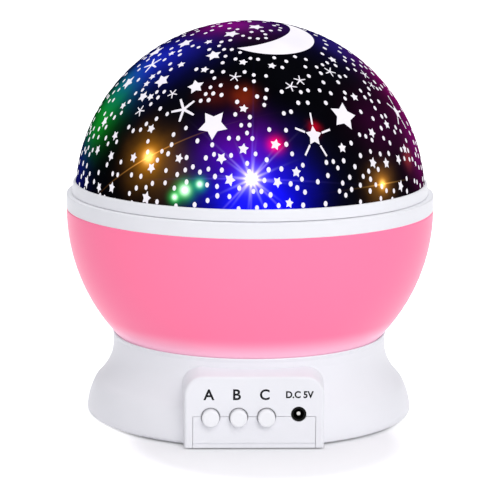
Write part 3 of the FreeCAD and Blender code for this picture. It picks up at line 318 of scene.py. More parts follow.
# Painted light on the dome: coloured washes, bright spots with white cores, and flare rays.
paintedGlowLook = {
    "rippleScale": 90.0, "rippleDetail": 3.0, "warp": 0.007,
    # longitude, latitude, size in mm, colour, strength
    "washes": [
        (-73.7, 28.6, 10.0, (0.01, 0.6, 0.02), 0.36), (-70.3, 40.6, 9.0, (0, 0.3, 0.2), 0.3),
        (-65.2, 52.8, 12.0, (0.02, 0.03, 1), 0.4), (-43.3, 63.2, 10.0, (0.02, 0.02, 0.55), 0.16),
        (-62.9, 80.1, 9.0, (0.5, 0, 0.42), 0.36), (-14.5, 78.5, 9.0, (0.3, 0.02, 0.35), 0.16),
        (43.7, 83.3, 10.0, (0.1, 0.01, 0.3), 0.22), (78.6, 61.4, 12.0, (0.05, 0.03, 0.6), 0.22),
        (90.8, 38.7, 13.5, (0.6, 0.01, 0.32), 0.46), (78.3, 18.3, 12.0, (0.45, 0.01, 0.3), 0.34),
        (51.6, 29.4, 11.0, (0.2, 0, 0.14), 0.12), (-1.2, 10.4, 13.0, (0.01, 0.01, 1), 0.88),
        (2.4, 4.5, 13.0, (0, 0, 1), 0.8), (-14.6, 22.1, 8.0, (0.14, 0, 0.5), 0.2),
        (-2.7, 24.2, 8.5, (0.3, 0, 0.55), 0.34), (-81.0, 9.6, 11.0, (0.01, 0.01, 0.4), 0.25),
        (-4.9, 41.1, 4.0, (0.6, 0.05, 0), 0.3), (-17.0, 42.1, 4.5, (0.3, 0.02, 0.01), 0.16),
        (-37.5, 19.0, 7.5, (0.8, 0.3, 0.02), 0.4), (45.1, 10.5, 5.5, (0.75, 0.3, 0.05), 0.28),
        (64.4, 15.5, 3.5, (0.7, 0.08, 0.02), 0.24), (21.6, 30.4, 1.8, (1, 0, 0.02), 0.45),
        (-26.4, 13.1, 7.0, (0.12, 0.06, 0.01), 0.3)],
    "spots": [
        (-37.8, 19.5, 1.9, (1, 0.66, 0.2), 1.7), (-37.8, 19.5, 3.6, (1, 0.34, 0), 0.55),
        (45.5, 10.2, 1.3, (1, 0.62, 0.15), 1.6), (45.5, 10.2, 2.6, (1, 0.34, 0), 0.4),
        (-22.9, 10.3, 2.7, (0, 0.85, 0.1), 0.9), (-22.9, 10.3, 1.5, (0.9, 1, 0.9), 1.6),
        (-26.2, 7.9, 1.9, (0, 0.75, 0.1), 0.8), (-26.2, 7.9, 0.9, (0.9, 1, 0.9), 1.4),
        (-18.1, 12.4, 1.9, (0, 0.75, 0.12), 0.8), (-18.1, 12.4, 0.9, (0.9, 1, 0.9), 1.4),
        (6.6, 25.2, 2.4, (1, 0, 0), 1.35), (-1.5, 14.4, 3.4, (0.35, 0.3, 1), 1.1),
        (-1.5, 14.4, 1.5, (1, 1, 1), 2.2)],
    # longitude, latitude, rays, turn in degrees, width in mm, reach in mm, colour, strength
    "rays": [
        (-1.5, 14.4, 12, 6.0, 0.38, 2.6, (0.85, 0.8, 1), 1.8),
        (-1.5, 14.4, 4, 1.0, 0.32, 6.4, (0.22, 0.16, 1), 1.3),
        (-1.5, 14.4, 4, 44.0, 0.34, 4.8, (0.6, 0.45, 1), 1.2),
        (-37.8, 19.5, 2, -32.0, 0.2, 7.0, (1, 0.42, 0.08), 1.2),
        (45.5, 10.2, 2, 0.0, 0.22, 3.6, (1, 0.5, 0.1), 1.2)],
}


def addGlow(tree, total, value, colour, strength):
    tint = scaled(tree, tuple(part * strength for part in colour), value)
    return tint if total is None else vectorNode(tree, "ADD", total, tint)


# All painted glows, spots and flare rays round the dome as one colour: the lamp's light painted onto a
# dome that is no lamp. The rear half mirrors the front.
def makePaintedDomeGlow():
    group, entry, leave = newGroup("paintedDomeGlow", {"Vector": "vector"}, {"Color": "colour"})
    parts = addNode(group, "ShaderNodeSeparateXYZ", {"Vector": entry["Vector"]}).outputs
    front = negative(group, mathNode(group, "ABSOLUTE", parts["Y"]))
    sides = {"X": parts["X"], "Y": front, "Z": parts["Z"]}
    folded = addNode(group, "ShaderNodeCombineXYZ", sides).outputs["Vector"]
    ripple = addNode(group, "ShaderNodeTexNoise", {
        "Vector": folded, "Scale": paintedGlowLook["rippleScale"], "Detail": paintedGlowLook["rippleDetail"]})
    shift = vectorNode(group, "SUBTRACT", ripple.outputs["Color"], (noiseMiddle,) * 3)
    warped = vectorNode(group, "ADD", folded, scaled(group, shift, paintedGlowLook["warp"]))
    total = None
    for vector, entries in ((warped, paintedGlowLook["washes"]), (folded, paintedGlowLook["spots"])):
        for longitude, latitude, span, colour, strength in entries:
            value = useGroup(group, softSpot, {
                "Vector": vector, "Place": glowPlace(longitude, latitude), "Size": span * mm})["Value"]
            total = addGlow(group, total, value, colour, strength)
    for longitude, latitude, count, turn, width, reach, colour, strength in paintedGlowLook["rays"]:
        east, north, outward = skinAxes(longitude, latitude)
        value = useGroup(group, rayBurst, {
            "Vector": folded, "Place": glowPlace(longitude, latitude), "East": tuple(east),
            "North": tuple(north), "Half Step": math.pi / count, "Turn": math.radians(turn),
            "Width": width * mm, "Reach": reach * mm})["Value"]
        total = addGlow(group, total, value, colour, strength)
    group.links.new(total, leave["Color"])
    return group


paintedDomeGlow = makePaintedDomeGlow()

# what each slot of the record looks like
shellWhite = (0.86, 0.86, 0.90)
finishes = {
    "white_shell": plastic("shellPlastic", shellWhite, deep=0.97, roughness=0.42, bump=0.03,
                           Specular_IOR_Level=0.35),
    "white_ring": plastic("ringPlastic", shellWhite, deep=0.97, roughness=0.38, bump=0.02,
                          Specular_IOR_Level=0.35),
    "white_button": plastic("buttonPlastic", (0.88, 0.88, 0.91), deep=0.97, roughness=0.24, bump=0.015,
                            Coat_Weight=0.2),
    "pink_bowl": plastic("bowlPlasticWithPaintedLight", (1.0, 0.205, 0.365), deep=0.985, grain=600.0, patch=14.0,
                         roughness=0.34, spread=0.04, bump=0.01, Specular_IOR_Level=0.1),
    "white_inner": plastic("innerPlastic", (0.84, 0.84, 0.84), deep=0.95, roughness=0.5, bump=0.05),
    "nylon": plastic("nylonPlastic", (0.78, 0.76, 0.68), deep=0.9, roughness=0.45, bump=0.05,
                     Subsurface_Weight=0.15, Subsurface_Scale=0.001),
    "foot_rubber": plastic("footRubber", (0.045, 0.045, 0.05), deep=0.7, grain=1600.0, roughness=0.8,
                           bump=0.25),
    "screw_steel": steel("screwSteel", (0.60, 0.60, 0.63), 0.28, (1, 1, 0.3)),
    "spring_steel": steel("springSteel", (0.68, 0.68, 0.70), 0.22, (1, 1, 1)),
    "motor_steel": steel("motorSteel", (0.55, 0.55, 0.57), 0.32, (1, 1, 0.05)),
    "board_green": plastic("boardMask", (0.012, 0.12, 0.04), deep=0.6, grain=500.0, patch=260.0,
                           roughness=0.3, bump=0.06, Coat_Weight=0.4),
    "lamp_board_white": plastic("lampBoardMask", (0.80, 0.80, 0.80), deep=0.93, patch=200.0,
                                roughness=0.35),
    "chip_black": plastic("chipEpoxy", (0.02, 0.02, 0.02), deep=0.6, grain=2200.0, roughness=0.55,
                          bump=0.2),
    "switch_black": plastic("switchCase", (0.03, 0.03, 0.03), deep=0.7, roughness=0.4, bump=0.1),
    "jack_black": plastic("jackCase", (0.006, 0.006, 0.006), deep=0.7, roughness=0.5, bump=0.05,
                          Specular_IOR_Level=0.12),
    "jack_pin_metal": steel("jackPin", (0.66, 0.65, 0.62), 0.22, (1, 0.1, 1)),
    "lead_red": plastic("leadSleeve", (0.42, 0.01, 0.01), deep=0.8, roughness=0.45, bump=0.08),
}


# The two heights are in metres. The painted light of the paler foot lies below the one and fades out at
# the other. glow is the strength of the bowl's painted glow.
bowlLook = {"foot": 0.0285, "fade": 0.0375, "paintedFootLight": (1.0, 0.53, 0.69, 1.0),
            "bounce": (1.0, 0.90, 0.96, 1.0), "bouncePart": 0.95, "glow": 0.15}


# The bowl's foot is painted paler, as painted light, and the bowl has a faint painted glow though it is
# no lamp. What it throws on the base is paler than itself.
def paintBowlLight(material):
    tree, inlets, place = insides(material)
    height = addNode(tree, "ShaderNodeSeparateXYZ", {"Vector": place}).outputs["Z"]
    # Painted light: the bowl grows paler towards its foot.
    low = addNode(tree, "ShaderNodeMapRange", {
        "Value": height, "From Min": bowlLook["fade"], "From Max": bowlLook["foot"]},
        interpolation_type="SMOOTHSTEP").outputs["Result"]
    diffuse = addNode(tree, "ShaderNodeLightPath").outputs["Is Diffuse Ray"]
    bounced = mathNode(tree, "MULTIPLY", diffuse, bowlLook["bouncePart"])
    colour = mixColours(tree, low, inlets["Base Color"].links[0].from_socket, bowlLook["paintedFootLight"])
    colour = mixColours(tree, bounced, colour, bowlLook["bounce"])
    tree.links.new(colour, inlets["Base Color"])
    # Painted glow: the bowl gives off a little light of its own colour.
    emit(tree, inlets, colour, bowlLook["glow"])


paintBowlLight(finishes["pink_bowl"])

# Places along a cell are in mm from the middle of the bay, and those of an unturned cell.
cellLook = {"pitch": 10.8, "first": -0.4, "band": 12.6, "nubEnd": 24.12, "flatEnd": -19.02,
            "sleeve": (0.035, 0.04, 0.055), "bandColour": (0.48, 0.20, 0.07, 1.0), "bandMetal": 0.7,
            "steel": (0.62, 0.62, 0.64, 1.0)}


# A plain sleeve with a copper band at its nub end, and bare steel ends. Every second cell is turned.
def makeCellSleeve():
    look = cellLook
    material = plastic("cellSleeve", look["sleeve"], deep=0.8, roughness=0.28, Coat_Weight=0.3)
    tree, inlets, place = insides(material)
    parts = addNode(tree, "ShaderNodeSeparateXYZ", {"Vector": place}).outputs
    row = mathNode(tree, "MULTIPLY_ADD", parts["Y"], 1 / mm / look["pitch"],
                   0.5 - look["first"] / look["pitch"])
    odd = mathNode(tree, "FLOORED_MODULO", mathNode(tree, "FLOOR", row), 2.0)
    turned = mathNode(tree, "MULTIPLY_ADD", odd, -2.0, 1.0)
    along = mathNode(tree, "MULTIPLY", mathNode(tree, "MULTIPLY", parts["X"], 1 / mm), turned)
    banded = mathNode(tree, "GREATER_THAN", along, look["band"])
    bare = mathNode(tree, "MAXIMUM", mathNode(tree, "GREATER_THAN", along, look["nubEnd"]),
                    mathNode(tree, "LESS_THAN", along, look["flatEnd"]))
    wrap = mixColours(tree, banded, look["sleeve"] + (1.0,), look["bandColour"])
    tree.links.new(mixColours(tree, bare, wrap, look["steel"]), inlets["Base Color"])
    shine = mathNode(tree, "MULTIPLY", banded, look["bandMetal"])
    tree.links.new(mathNode(tree, "MAXIMUM", shine, bare), inlets["Metallic"])
    return material


finishes["cell_wrap"] = makeCellSleeve()


lensLook = {"edge": 0.35, "pale": 0.4, "glow": 0.8}


# Clear epoxy round a lit chip: palest in the middle.
def makeLens(name, colour, glow):
    material = plastic(name, colour, deep=0.9, roughness=0.08, spread=0.02, bump=0.0, Coat_Weight=0.5)
    tree, inlets, place = insides(material)
    facing = addNode(tree, "ShaderNodeLayerWeight", {"Blend": lensLook["edge"]}).outputs["Facing"]
    pale = tuple(lensLook["pale"] + (1 - lensLook["pale"]) * part for part in glow)
    emit(tree, inlets, mixColours(tree, facing, pale + (1.0,), glow + (1.0,)), lensLook["glow"])
    return material


finishes["led_white_lens"] = makeLens("ledWhiteLens", (0.90, 0.90, 0.85), (1.0, 0.98, 0.92))
finishes["led_red_lens"] = makeLens("ledRedLens", (0.80, 0.05, 0.03), (1.0, 0.05, 0.03))
finishes["led_green_lens"] = makeLens("ledGreenLens", (0.05, 0.75, 0.12), (0.05, 1.0, 0.15))
finishes["led_blue_lens"] = makeLens("ledBlueLens", (0.05, 0.12, 0.90), (0.05, 0.15, 1.0))


# Black print under a clear polished skin, with the lamp's light painted into it as a glow.
def makePrintedDomeWithGlow():
    material = plastic("domePrintAndGlow", (0.0025, 0.0025, 0.004), deep=0.5, grain=700.0, patch=30.0,
                       roughness=0.30, spread=0.05, bump=0.006, Specular_IOR_Level=0.0)
    tree, inlets, place = insides(material)
    # Painted glow: the print gives off the washes, spots and rays as light of its own.
    emit(tree, inlets, useGroup(tree, paintedDomeGlow, {"Vector": place})["Color"])
    return material


windowGlowLook = {"cloudScale": 60.0, "cloudDetail": 2.0, "cloudFrom": 0.3, "cloudTo": 0.7,
            "dim": 0.58, "bright": 0.68, "tint": (1.0, 0.94, 1.02), "glowPart": 0.25}


# The clear places of the print, painted as lit from inside: a painted glow, brighter and dimmer in
# clouds, faintly tinted by the painted dome glow round them.
def makeWindowFilmAndGlow():
    material = plastic("windowFilmAndGlow", (0.30, 0.30, 0.32), deep=0.96, roughness=0.25, bump=0.01,
                       Specular_IOR_Level=0.1)
    tree, inlets, place = insides(material)
    glow = useGroup(tree, paintedDomeGlow, {"Vector": place})["Color"]
    cloud = addNode(tree, "ShaderNodeTexNoise", {
        "Vector": place, "Scale": windowGlowLook["cloudScale"], "Detail": windowGlowLook["cloudDetail"]})
    level = addNode(tree, "ShaderNodeMapRange", {
        "Value": cloud.outputs["Fac"], "From Min": windowGlowLook["cloudFrom"], "From Max": windowGlowLook["cloudTo"],
        "To Min": windowGlowLook["dim"], "To Max": windowGlowLook["bright"]}).outputs["Result"]
    base = scaled(tree, windowGlowLook["tint"], level)
    # Painted glow: the windows give off light of their own, as if lit from inside.
    emit(tree, inlets, vectorNode(tree, "ADD", base, scaled(tree, glow, windowGlowLook["glowPart"])))
    return material


finishes["printed_dome"] = makePrintedDomeWithGlow()
windowFilmAndGlow = makeWindowFilmAndGlow()
labelInk = plastic("labelInk", (0.006, 0.006, 0.008), deep=0.6, grain=1800.0, roughness=0.5, bump=0.08,
                   Specular_IOR_Level=0.15)

for entry in frame["record"]["subparts"]:
    paint(cadNodes[entry["node"]], finishes[entry["material_slot"]])
print("finishes: %d materials on %d CAD nodes" % (len(finishes), len(cadNodes)))


# the printed dome
def makeDome():
    pickNothing()
    bpy.ops.mesh.primitive_uv_sphere_add(
        segments=domeShape["segments"], ring_count=domeShape["rings"], radius=domeShape["radius"] * mm,
        location=(0, 0, domeShape["middle"] * mm))
    dome = newest("dome_shell")
    settle(dome)
    editAll()
    bpy.ops.mesh.bisect(plane_co=(0, 0, domeShape["seat"] * mm), plane_no=(0, 0, 1), clear_inner=True)
    leaveEdit()
    applyModifier(dome, "SOLIDIFY", thickness=domeShape["wall"] * mm, offset=-1.0)
    smooth(dome, 40)
    paint(dome, finishes["printed_dome"])
    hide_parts("star_dome")
    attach(dome, "dome")


# Thicknesses are in mm, the sizes of waist, arms and rays in star radii.
windowLook = {"proud": 0.05, "thick": 0.12, "starWaist": 0.54, "armWidth": 0.17, "armTip": 0.75,
              "starWide": 0.95, "starDrawn": 1.34, "starFade": 0.009, "rayDrawn": (0.9, 1.16),
              "rayReach": 2.6, "rayMiddle": 1.7, "rayWidth": 0.2, "rayLength": 1.2}
fifth = 72  # degrees from one point of a star to the next

# longitude, latitude, radius in mm, turn in degrees
plainStars = [
    (-15.7, 31.5, 5.5, 176), (35.5, 33.5, 5.4, 20), (-27.0, 44.8, 3.2, 48), (-46.5, 45.8, 3.2, 28),
    (-78.7, 56.5, 3.5, 18), (-58.4, 63.8, 3.1, 23), (-23.7, 72.7, 3.0, 5), (6.3, 79.8, 3.0, 30),
    (-25.5, 59.0, 2.9, 43), (-70.5, 42.6, 3.1, 10), (-51.7, 39.0, 2.3, 8), (-37.8, 66.2, 1.6, 20),
    (-6.4, 56.1, 1.7, 10), (-42.1, 53.4, 1.6, 40), (-26.3, 52.0, 1.6, 0), (-54.7, 46.8, 1.5, 15),
    (-54.9, 43.8, 1.5, 50), (-47.3, 39.3, 1.6, 30), (-61.1, 34.6, 1.6, 5), (-69.0, 27.9, 2.1, 25),
    (-40.0, 28.6, 1.7, 12), (-57.0, 24.5, 1.7, 33), (-4.7, 37.3, 1.7, 8), (-65.5, 18.6, 1.7, 20),
    (-55.6, 17.9, 1.7, 44), (-44.2, 18.7, 1.6, 10), (-35.9, 16.2, 1.7, 28), (-26.1, 20.0, 1.6, 14),
    (-11.5, 20.7, 1.9, 30), (-4.3, 23.8, 1.9, 5), (-8.4, 14.1, 2.0, 20), (-69.1, 7.6, 2.1, 15),
    (-52.1, 8.2, 1.7, 5), (-59.3, 7.3, 1.6, 40), (-36.5, 6.7, 2.0, 12), (-58.0, 57.8, 1.5, 30),
    (9.4, 54.4, 1.6, 18), (50.8, 55.4, 1.8, 25), (45.8, 39.6, 1.8, 10), (57.1, 28.5, 1.7, 8),
    (46.3, 26.8, 1.8, 36), (30.8, 23.1, 1.7, 4), (42.6, 17.3, 1.8, 20), (49.2, 16.5, 1.7, 6),
    (56.9, 16.8, 1.7, 40), (63.6, 19.4, 1.6, 12), (55.3, 8.4, 1.8, 25), (6.6, 25.2, 1.9, 16),
    (13.0, 16.4, 1.7, 8), (6.7, 13.4, 1.7, 30), (10.3, 6.9, 1.5, 10)]
thinStars = [
    (-28.7, 36.1, 4.8, -33), (-64.1, 51.4, 4.0, 26), (-9.6, 49.4, 2.2, 5), (-36.7, 41.4, 2.0, 20),
    (-49.0, 34.0, 2.2, 12), (16.1, 45.5, 2.3, 30), (21.4, 47.7, 2.3, 8), (41.1, 50.4, 2.4, 40),
    (66.5, 46.9, 2.2, 15), (64.2, 42.5, 1.8, 50)]
rayedStars = [(20.8, 27.6, 3.2, 4), (71.3, 31.2, 2.6, 20)]
# Each arc of the moon is x, y and radius in mm on a flat laid against the dome there.
moonLook = {"longitude": 32.4, "latitude": 69.1, "outer": (-4.1, 8.0, 17.6), "inner": (-10.7, 20.3, 21.3),
            "steps": 24, "rows": 6, "weld": 0.02, "facing": 0.7, "margin": 1.8}
# kinds: what, how many, smallest and largest radius in mm, drawn in this order
rearLook = {"seed": 11, "longitudes": (88, 272), "sines": (0.09, 0.96), "gap": 2.0, "kinds": [
    ("plain", 2, 5.2, 5.5), ("rayed", 1, 3.0, 3.2), ("plain", 9, 2.7, 3.3), ("thin", 8, 2.2, 4.2),
    ("plain", 46, 1.5, 2.0)]}


# Whether a window of this reach keeps the gap to all the windows in the list.
def clearOf(windows, place, reach, gap):
    return all((place - other).length * domeShape["radius"] > reach + size + gap
               for other, size in windows)


# Scatters more stars over the half that faces away, clear of each other.
def addRearStars():
    dice = random.Random(rearLook["seed"])
    stars = {"plain": plainStars, "thin": thinStars, "rayed": rayedStars}
    reaches = {"plain": 1.0, "thin": 1.0, "rayed": windowLook["rayReach"]}
    taken = [(onDome(a, b), r * reaches[kind]) for kind in stars for a, b, r, turn in stars[kind]]
    for kind, count, low, high in rearLook["kinds"]:
        while count:
            longitude = dice.uniform(*rearLook["longitudes"])
            latitude = math.degrees(math.asin(dice.uniform(*rearLook["sines"])))
            size = dice.uniform(low, high)
            place, reach = onDome(longitude, latitude), size * reaches[kind]
            if clearOf(taken, place, reach, rearLook["gap"]):
                taken.append((place, reach))
                stars[kind].append((longitude, latitude, size, dice.uniform(0, fifth)))
                count -= 1
    return taken


# A decagon, every second corner of which is drawn in to the waist.
def starTemplate():
    pickNothing()
    bpy.ops.mesh.primitive_circle_add(vertices=10, radius=1.0, fill_type="TRIFAN")
    star = newest("starTemplate")
    selectNone()
    for corner in star.data.vertices:
        if corner.co.length > 0.5:  # not the middle corner
            angle = math.degrees(math.atan2(corner.co.x, corner.co.y)) % fifth
            corner.select = fifth / 4 < angle < 3 * fifth / 4
    bpy.ops.object.mode_set(mode="EDIT")
    waist = windowLook["starWaist"]
    bpy.ops.transform.resize(value=(waist, waist, 1), center_override=(0, 0, 0))
    bpy.ops.mesh.select_all(action="SELECT")
    bpy.ops.mesh.subdivide(number_cuts=1)
    leaveEdit()
    return star


def middleOf(piece, edge):
    first, second = (piece.data.vertices[index].co for index in edge.vertices)
    return (first + second) / 2


def selectEdge(piece, middle):
    selectNone()
    for edge in piece.data.edges:
        if (middleOf(piece, edge) - middle).length < 1e-4:
            edge.select = True
            for index in edge.vertices:
                piece.data.vertices[index].select = True
    bpy.ops.object.mode_set(mode="EDIT")


# A pentagon, each side of which is drawn out into an arm.
def thinTemplate():
    pickNothing()
    bpy.ops.mesh.primitive_circle_add(vertices=5, radius=windowLook["armWidth"], fill_type="NGON")
    star = newest("thinTemplate")
    middles = [middleOf(star, edge) for edge in star.data.edges]
    bpy.ops.object.mode_set(mode="EDIT")
    bpy.context.tool_settings.mesh_select_mode = (False, True, False)
    for middle in middles:
        way = middle.normalized()
        selectEdge(star, middle)
        for half in range(2):
            bpy.ops.mesh.extrude_region_move(
                TRANSFORM_OT_translate={"value": tuple(way * (1 - middle.length) / 2)})
        bpy.ops.transform.resize(value=(windowLook["armTip"],) * 3, center_override=tuple(way))
    bpy.context.tool_settings.mesh_select_mode = (True, False, False)
    leaveEdit()
    return star


# A narrow bar beyond a star's upper point: one of its five detached rays.
def rodTemplate():
    pickNothing()
    bpy.ops.mesh.primitive_plane_add(size=1.0)
    rod = newest("rodTemplate")
    rod.data.transform(Matrix.Translation((0, windowLook["rayMiddle"], 0))
                       @ Matrix.Diagonal((windowLook["rayWidth"], windowLook["rayLength"], 1, 1)))
    editAll()
    bpy.ops.mesh.subdivide(number_cuts=1)
    leaveEdit()
    return rod


# One corner spun about a centre: an open arc.
def spunArc(start, centre, angle):
    pickNothing()
    bpy.ops.mesh.primitive_plane_add(size=1.0)
    arc = newest("moonArc")
    editAll()
    bpy.ops.mesh.merge(type="CENTER")
    bpy.ops.transform.translate(value=start)
    bpy.ops.mesh.spin(steps=moonLook["steps"], angle=angle, center=centre, axis=(0, 0, 1))
    leaveEdit()
    return arc


# A crescent between two arcs that share their tips. Each half is bridged by itself, fat middle first.
def moonTemplate():
    (nearX, nearY, outer), (farX, farY, inner) = moonLook["outer"], moonLook["inner"]
    near, far = Vector((nearX, nearY, 0)), Vector((farX, farY, 0))
    gap = (far - near).length
    way = (far - near).normalized()
    along = (outer ** 2 - inner ** 2 + gap ** 2) / (2 * gap)
    outerAngle = math.pi - math.acos(along / outer)
    innerAngle = math.asin(math.sqrt(outer ** 2 - along ** 2) / inner)
    halves = []
    for turn in (-1, 1):
        arcs = [spunArc(tuple(centre - way * radius), tuple(centre), turn * angle)
                for centre, radius, angle in ((near, outer, outerAngle), (far, inner, innerAngle))]
        halves.append(joinAll("moonHalf", arcs))
        editAll()
        bpy.ops.mesh.bridge_edge_loops(number_cuts=moonLook["rows"], interpolation="LINEAR")
        leaveEdit()
    moon = joinAll("moonTemplate", halves)
    editAll()
    bpy.ops.mesh.remove_doubles(threshold=moonLook["weld"])
    bpy.ops.mesh.normals_make_consistent(inside=False)
    leaveEdit()
    if moon.data.polygons[0].normal.z < 0:
        moon.data.flip_normals()
    return moon


# From a flat window about the origin to its place on the dome, the dome's middle at the origin.
def patchMatrix(longitude, latitude, scale, turn, wide=1.0, tall=1.0):
    east, north, outward = skinAxes(longitude, latitude)
    upright = Matrix((east, north, outward)).transposed().to_4x4()
    return (Matrix.Translation(outward * domeShape["radius"] * mm) @ upright
            @ Matrix.Diagonal((wide, tall, 1, 1)) @ Matrix.Rotation(math.radians(-turn), 4, "Z")
            @ Matrix.Scale(scale * mm, 4))


# The print was drawn upward when the dome was formed: most at its foot, hardly at its top.
def drawn(latitude):
    tall = max(1.0, windowLook["starDrawn"] - windowLook["starFade"] * latitude)
    return windowLook["starWide"], windowLook["starWide"] * tall


# Lays flat windows onto the dome and gives them their thickness.
def finishWindows(name, pieces):
    windows = joinAll(name, pieces)
    surface = (domeShape["radius"] + windowLook["proud"]) * mm
    applyModifier(windows, "CAST", cast_type="SPHERE", factor=1.0, radius=0.0, size=surface,
                  use_radius_as_size=False)
    applyModifier(windows, "SOLIDIFY", thickness=windowLook["thick"] * mm, offset=-1.0)
    windows.data.transform(Matrix.Translation((0, 0, domeShape["middle"] * mm)))
    smooth(windows, 40)
    paint(windows, windowFilmAndGlow)
    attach(windows, "dome")


def makeStars():
    star, thin, rod = starTemplate(), thinTemplate(), rodTemplate()
    stars = [copyOf(star, patchMatrix(a, b, r, turn, *drawn(b))) for a, b, r, turn in plainStars]
    stars += [copyOf(thin, patchMatrix(a, b, r, turn + fifth / 2, *drawn(b)))
              for a, b, r, turn in thinStars]
    for a, b, r, turn in rayedStars:
        stars.append(copyOf(star, patchMatrix(a, b, r, turn, *windowLook["rayDrawn"])))
        stars += [copyOf(rod, patchMatrix(a, b, r, turn + fifth * arm, *windowLook["rayDrawn"]))
                  for arm in range(5)]
    finishWindows("star_windows", stars)
    discard(star, thin, rod)
    print("windows: %d stars" % (len(plainStars) + len(thinStars) + len(rayedStars)))


def makeMoon():
    moon = moonTemplate()
    moon.data.transform(patchMatrix(moonLook["longitude"], moonLook["latitude"], 1.0, 0))
    finishWindows("moon_window", [moon])
    print("windows: the moon")


# Whether a place lies in the moon or too near to it, seen on the flat that the moon is drawn on.
def insideMoon(place):
    east, north, outward = skinAxes(moonLook["longitude"], moonLook["latitude"])
    if place.dot(outward) < moonLook["facing"]:
        return False
    reach = domeShape["radius"] / place.dot(outward)
    x, y = place.dot(east) * reach, place.dot(north) * reach
    (nearX, nearY, outer), (farX, farY, inner) = moonLook["outer"], moonLook["inner"]
    return (math.hypot(x - nearX, y - nearY) < outer + moonLook["margin"]
            and math.hypot(x - farX, y - farY) > inner - moonLook["margin"])


# "gap" is from dot to dot between middles, "edge" from a dot's edge to a star's, both in mm.
dotLook = {"seed": 5, "count": 780, "size": (0.62, 0.70), "sides": 12, "lowest": 3.5, "gap": 2.6,
           "edge": 0.36, "drawn": 1.38, "fade": 0.003}


def makeDots(taken):
    dice = random.Random(dotLook["seed"])
    pickNothing()
    bpy.ops.mesh.primitive_circle_add(vertices=dotLook["sides"], radius=1.0, fill_type="TRIFAN")
    dot = newest("dotTemplate")
    dots, places = [], []
    lowest = math.sin(math.radians(dotLook["lowest"]))
    while len(dots) < dotLook["count"]:
        longitude = dice.uniform(-180, 180)
        latitude = math.degrees(math.asin(dice.uniform(lowest, 1.0)))
        size = dice.uniform(*dotLook["size"])
        place = onDome(longitude, latitude)
        if (clearOf(taken, place, size, dotLook["edge"]) and clearOf(places, place, 0, dotLook["gap"])
                and not insideMoon(place)):
            places.append((place, 0))
            tall = dotLook["drawn"] - dotLook["fade"] * latitude
            dots.append(copyOf(dot, patchMatrix(longitude, latitude, size, 0, 1.0, tall)))
    finishWindows("dot_windows", dots)
    discard(dot)
    print("windows: %d dots" % len(dots))


makeDome()
starPlaces = addRearStars()
makeStars()
makeMoon()
makeDots(starPlaces)

# screws with a cross recess, and the battery springs
screwLook = {"head": 1.9, "sides": 40, "edge": 0.32, "edgePart": 0.4, "recess": (2.3, 0.5, 0.6),
             "shank": 1.0, "shankSides": 16, "pitch": 0.35, "root": 0.86, "firstTurn": 0.4,
             "nextTurn": 1.3}
# node, height of the head's seat in mm, shank length, head height, head up, places in mm and degrees
screwPlaces = [
    ("cover_screws", 1.9, 6.6, 1.1, False, [(46.5, angle) for angle in (40, 140, 240, 300)]),
    ("battery_door_screw", 1.3, 3.5, 0.6, False, [(10.95, 270)]),
    ("column_screws", 20.2, 3.6, 1.1, True, [(11.6, angle) for angle in (0, 120, 240)]),
    ("gear_screws", 20.9, 3.5, 1.1, False, [(22.0, angle) for angle in (30, 150, 270)]),
    ("lamp_screws", 77.4, 3.2, 1.1, True, [(10.5, 0), (10.5, 180)]),
]


# A pan head up to +Z with its seat at 0 and a cross recess in it, in mm.
def screwHead(headHeight):
    pickNothing()
    bpy.ops.mesh.primitive_cylinder_add(
        vertices=screwLook["sides"], radius=screwLook["head"], depth=headHeight,
        location=(0, 0, headHeight / 2))
    head = newest("screwHead")
    settle(head)
    edge = min(screwLook["edge"], headHeight * screwLook["edgePart"])
    applyModifier(head, "BEVEL", width=edge, segments=4, limit_method="ANGLE")
    length, width, depth = screwLook["recess"]
    for turn in (0, 90):
        pickNothing()
        bpy.ops.mesh.primitive_cube_add(size=1.0, location=(0, 0, headHeight))
        bar = newest("recessBar")
        bar.scale = (length, width, depth * 2 * min(1.0, headHeight))
        bar.rotation_euler = (0, 0, math.radians(turn))
        settle(bar)
        applyModifier(head, "BOOLEAN", operation="DIFFERENCE", object=bar, solver="EXACT")
        discard(bar)
    return head


# A shank from 0 down, in and out by turns as a thread.
def screwShank(length):
    pickNothing()
    bpy.ops.mesh.primitive_circle_add(
        vertices=screwLook["shankSides"], radius=screwLook["shank"], fill_type="TRIFAN")
    shank = newest("screwShank")
    editAll()
    turns = int(length / screwLook["pitch"])
    for turn in range(turns):
        bpy.ops.mesh.extrude_region_move(TRANSFORM_OT_translate={"value": (0, 0, -length / turns)})
        span = screwLook["root"] if turn % 2 == 0 else 1 / screwLook["root"]
        bpy.ops.transform.resize(value=(span, span, 1), center_override=(0, 0, 0))
    leaveEdit()
    return shank


def bodyOf(node):
    for body, names in frame["record"]["behaviour"]["bodies"].items():
        if node in names:
            return body
    return "base"


def makeScrews():
    for name, seat, length, headHeight, headUp, places in screwPlaces:
        template = joinAll("screwTemplate", [screwHead(headHeight), screwShank(length)])
        flip = Matrix() if headUp else Matrix.Rotation(math.pi, 4, "X")
        screws = []
        for number, (reach, angle) in enumerate(places):
            spot = Matrix.Translation((reach * math.cos(math.radians(angle)) * mm,
                                       reach * math.sin(math.radians(angle)) * mm, seat * mm))
            turn = Matrix.Rotation(screwLook["firstTurn"] + number * screwLook["nextTurn"], 4, "Z")
            screws.append(copyOf(template, spot @ flip @ turn @ Matrix.Scale(mm, 4)))
        discard(template)
        piece = joinAll(name + "_look", screws)
        applyModifier(piece, "WELD", merge_threshold=1e-7)
        editAll()
        bpy.ops.mesh.normals_make_consistent(inside=False)
        leaveEdit()
        smooth(piece, 35)
        paint(piece, finishes["screw_steel"])
        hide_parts(name)
        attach(piece, bodyOf(name))
    print("screws: %d kinds" % len(screwPlaces))


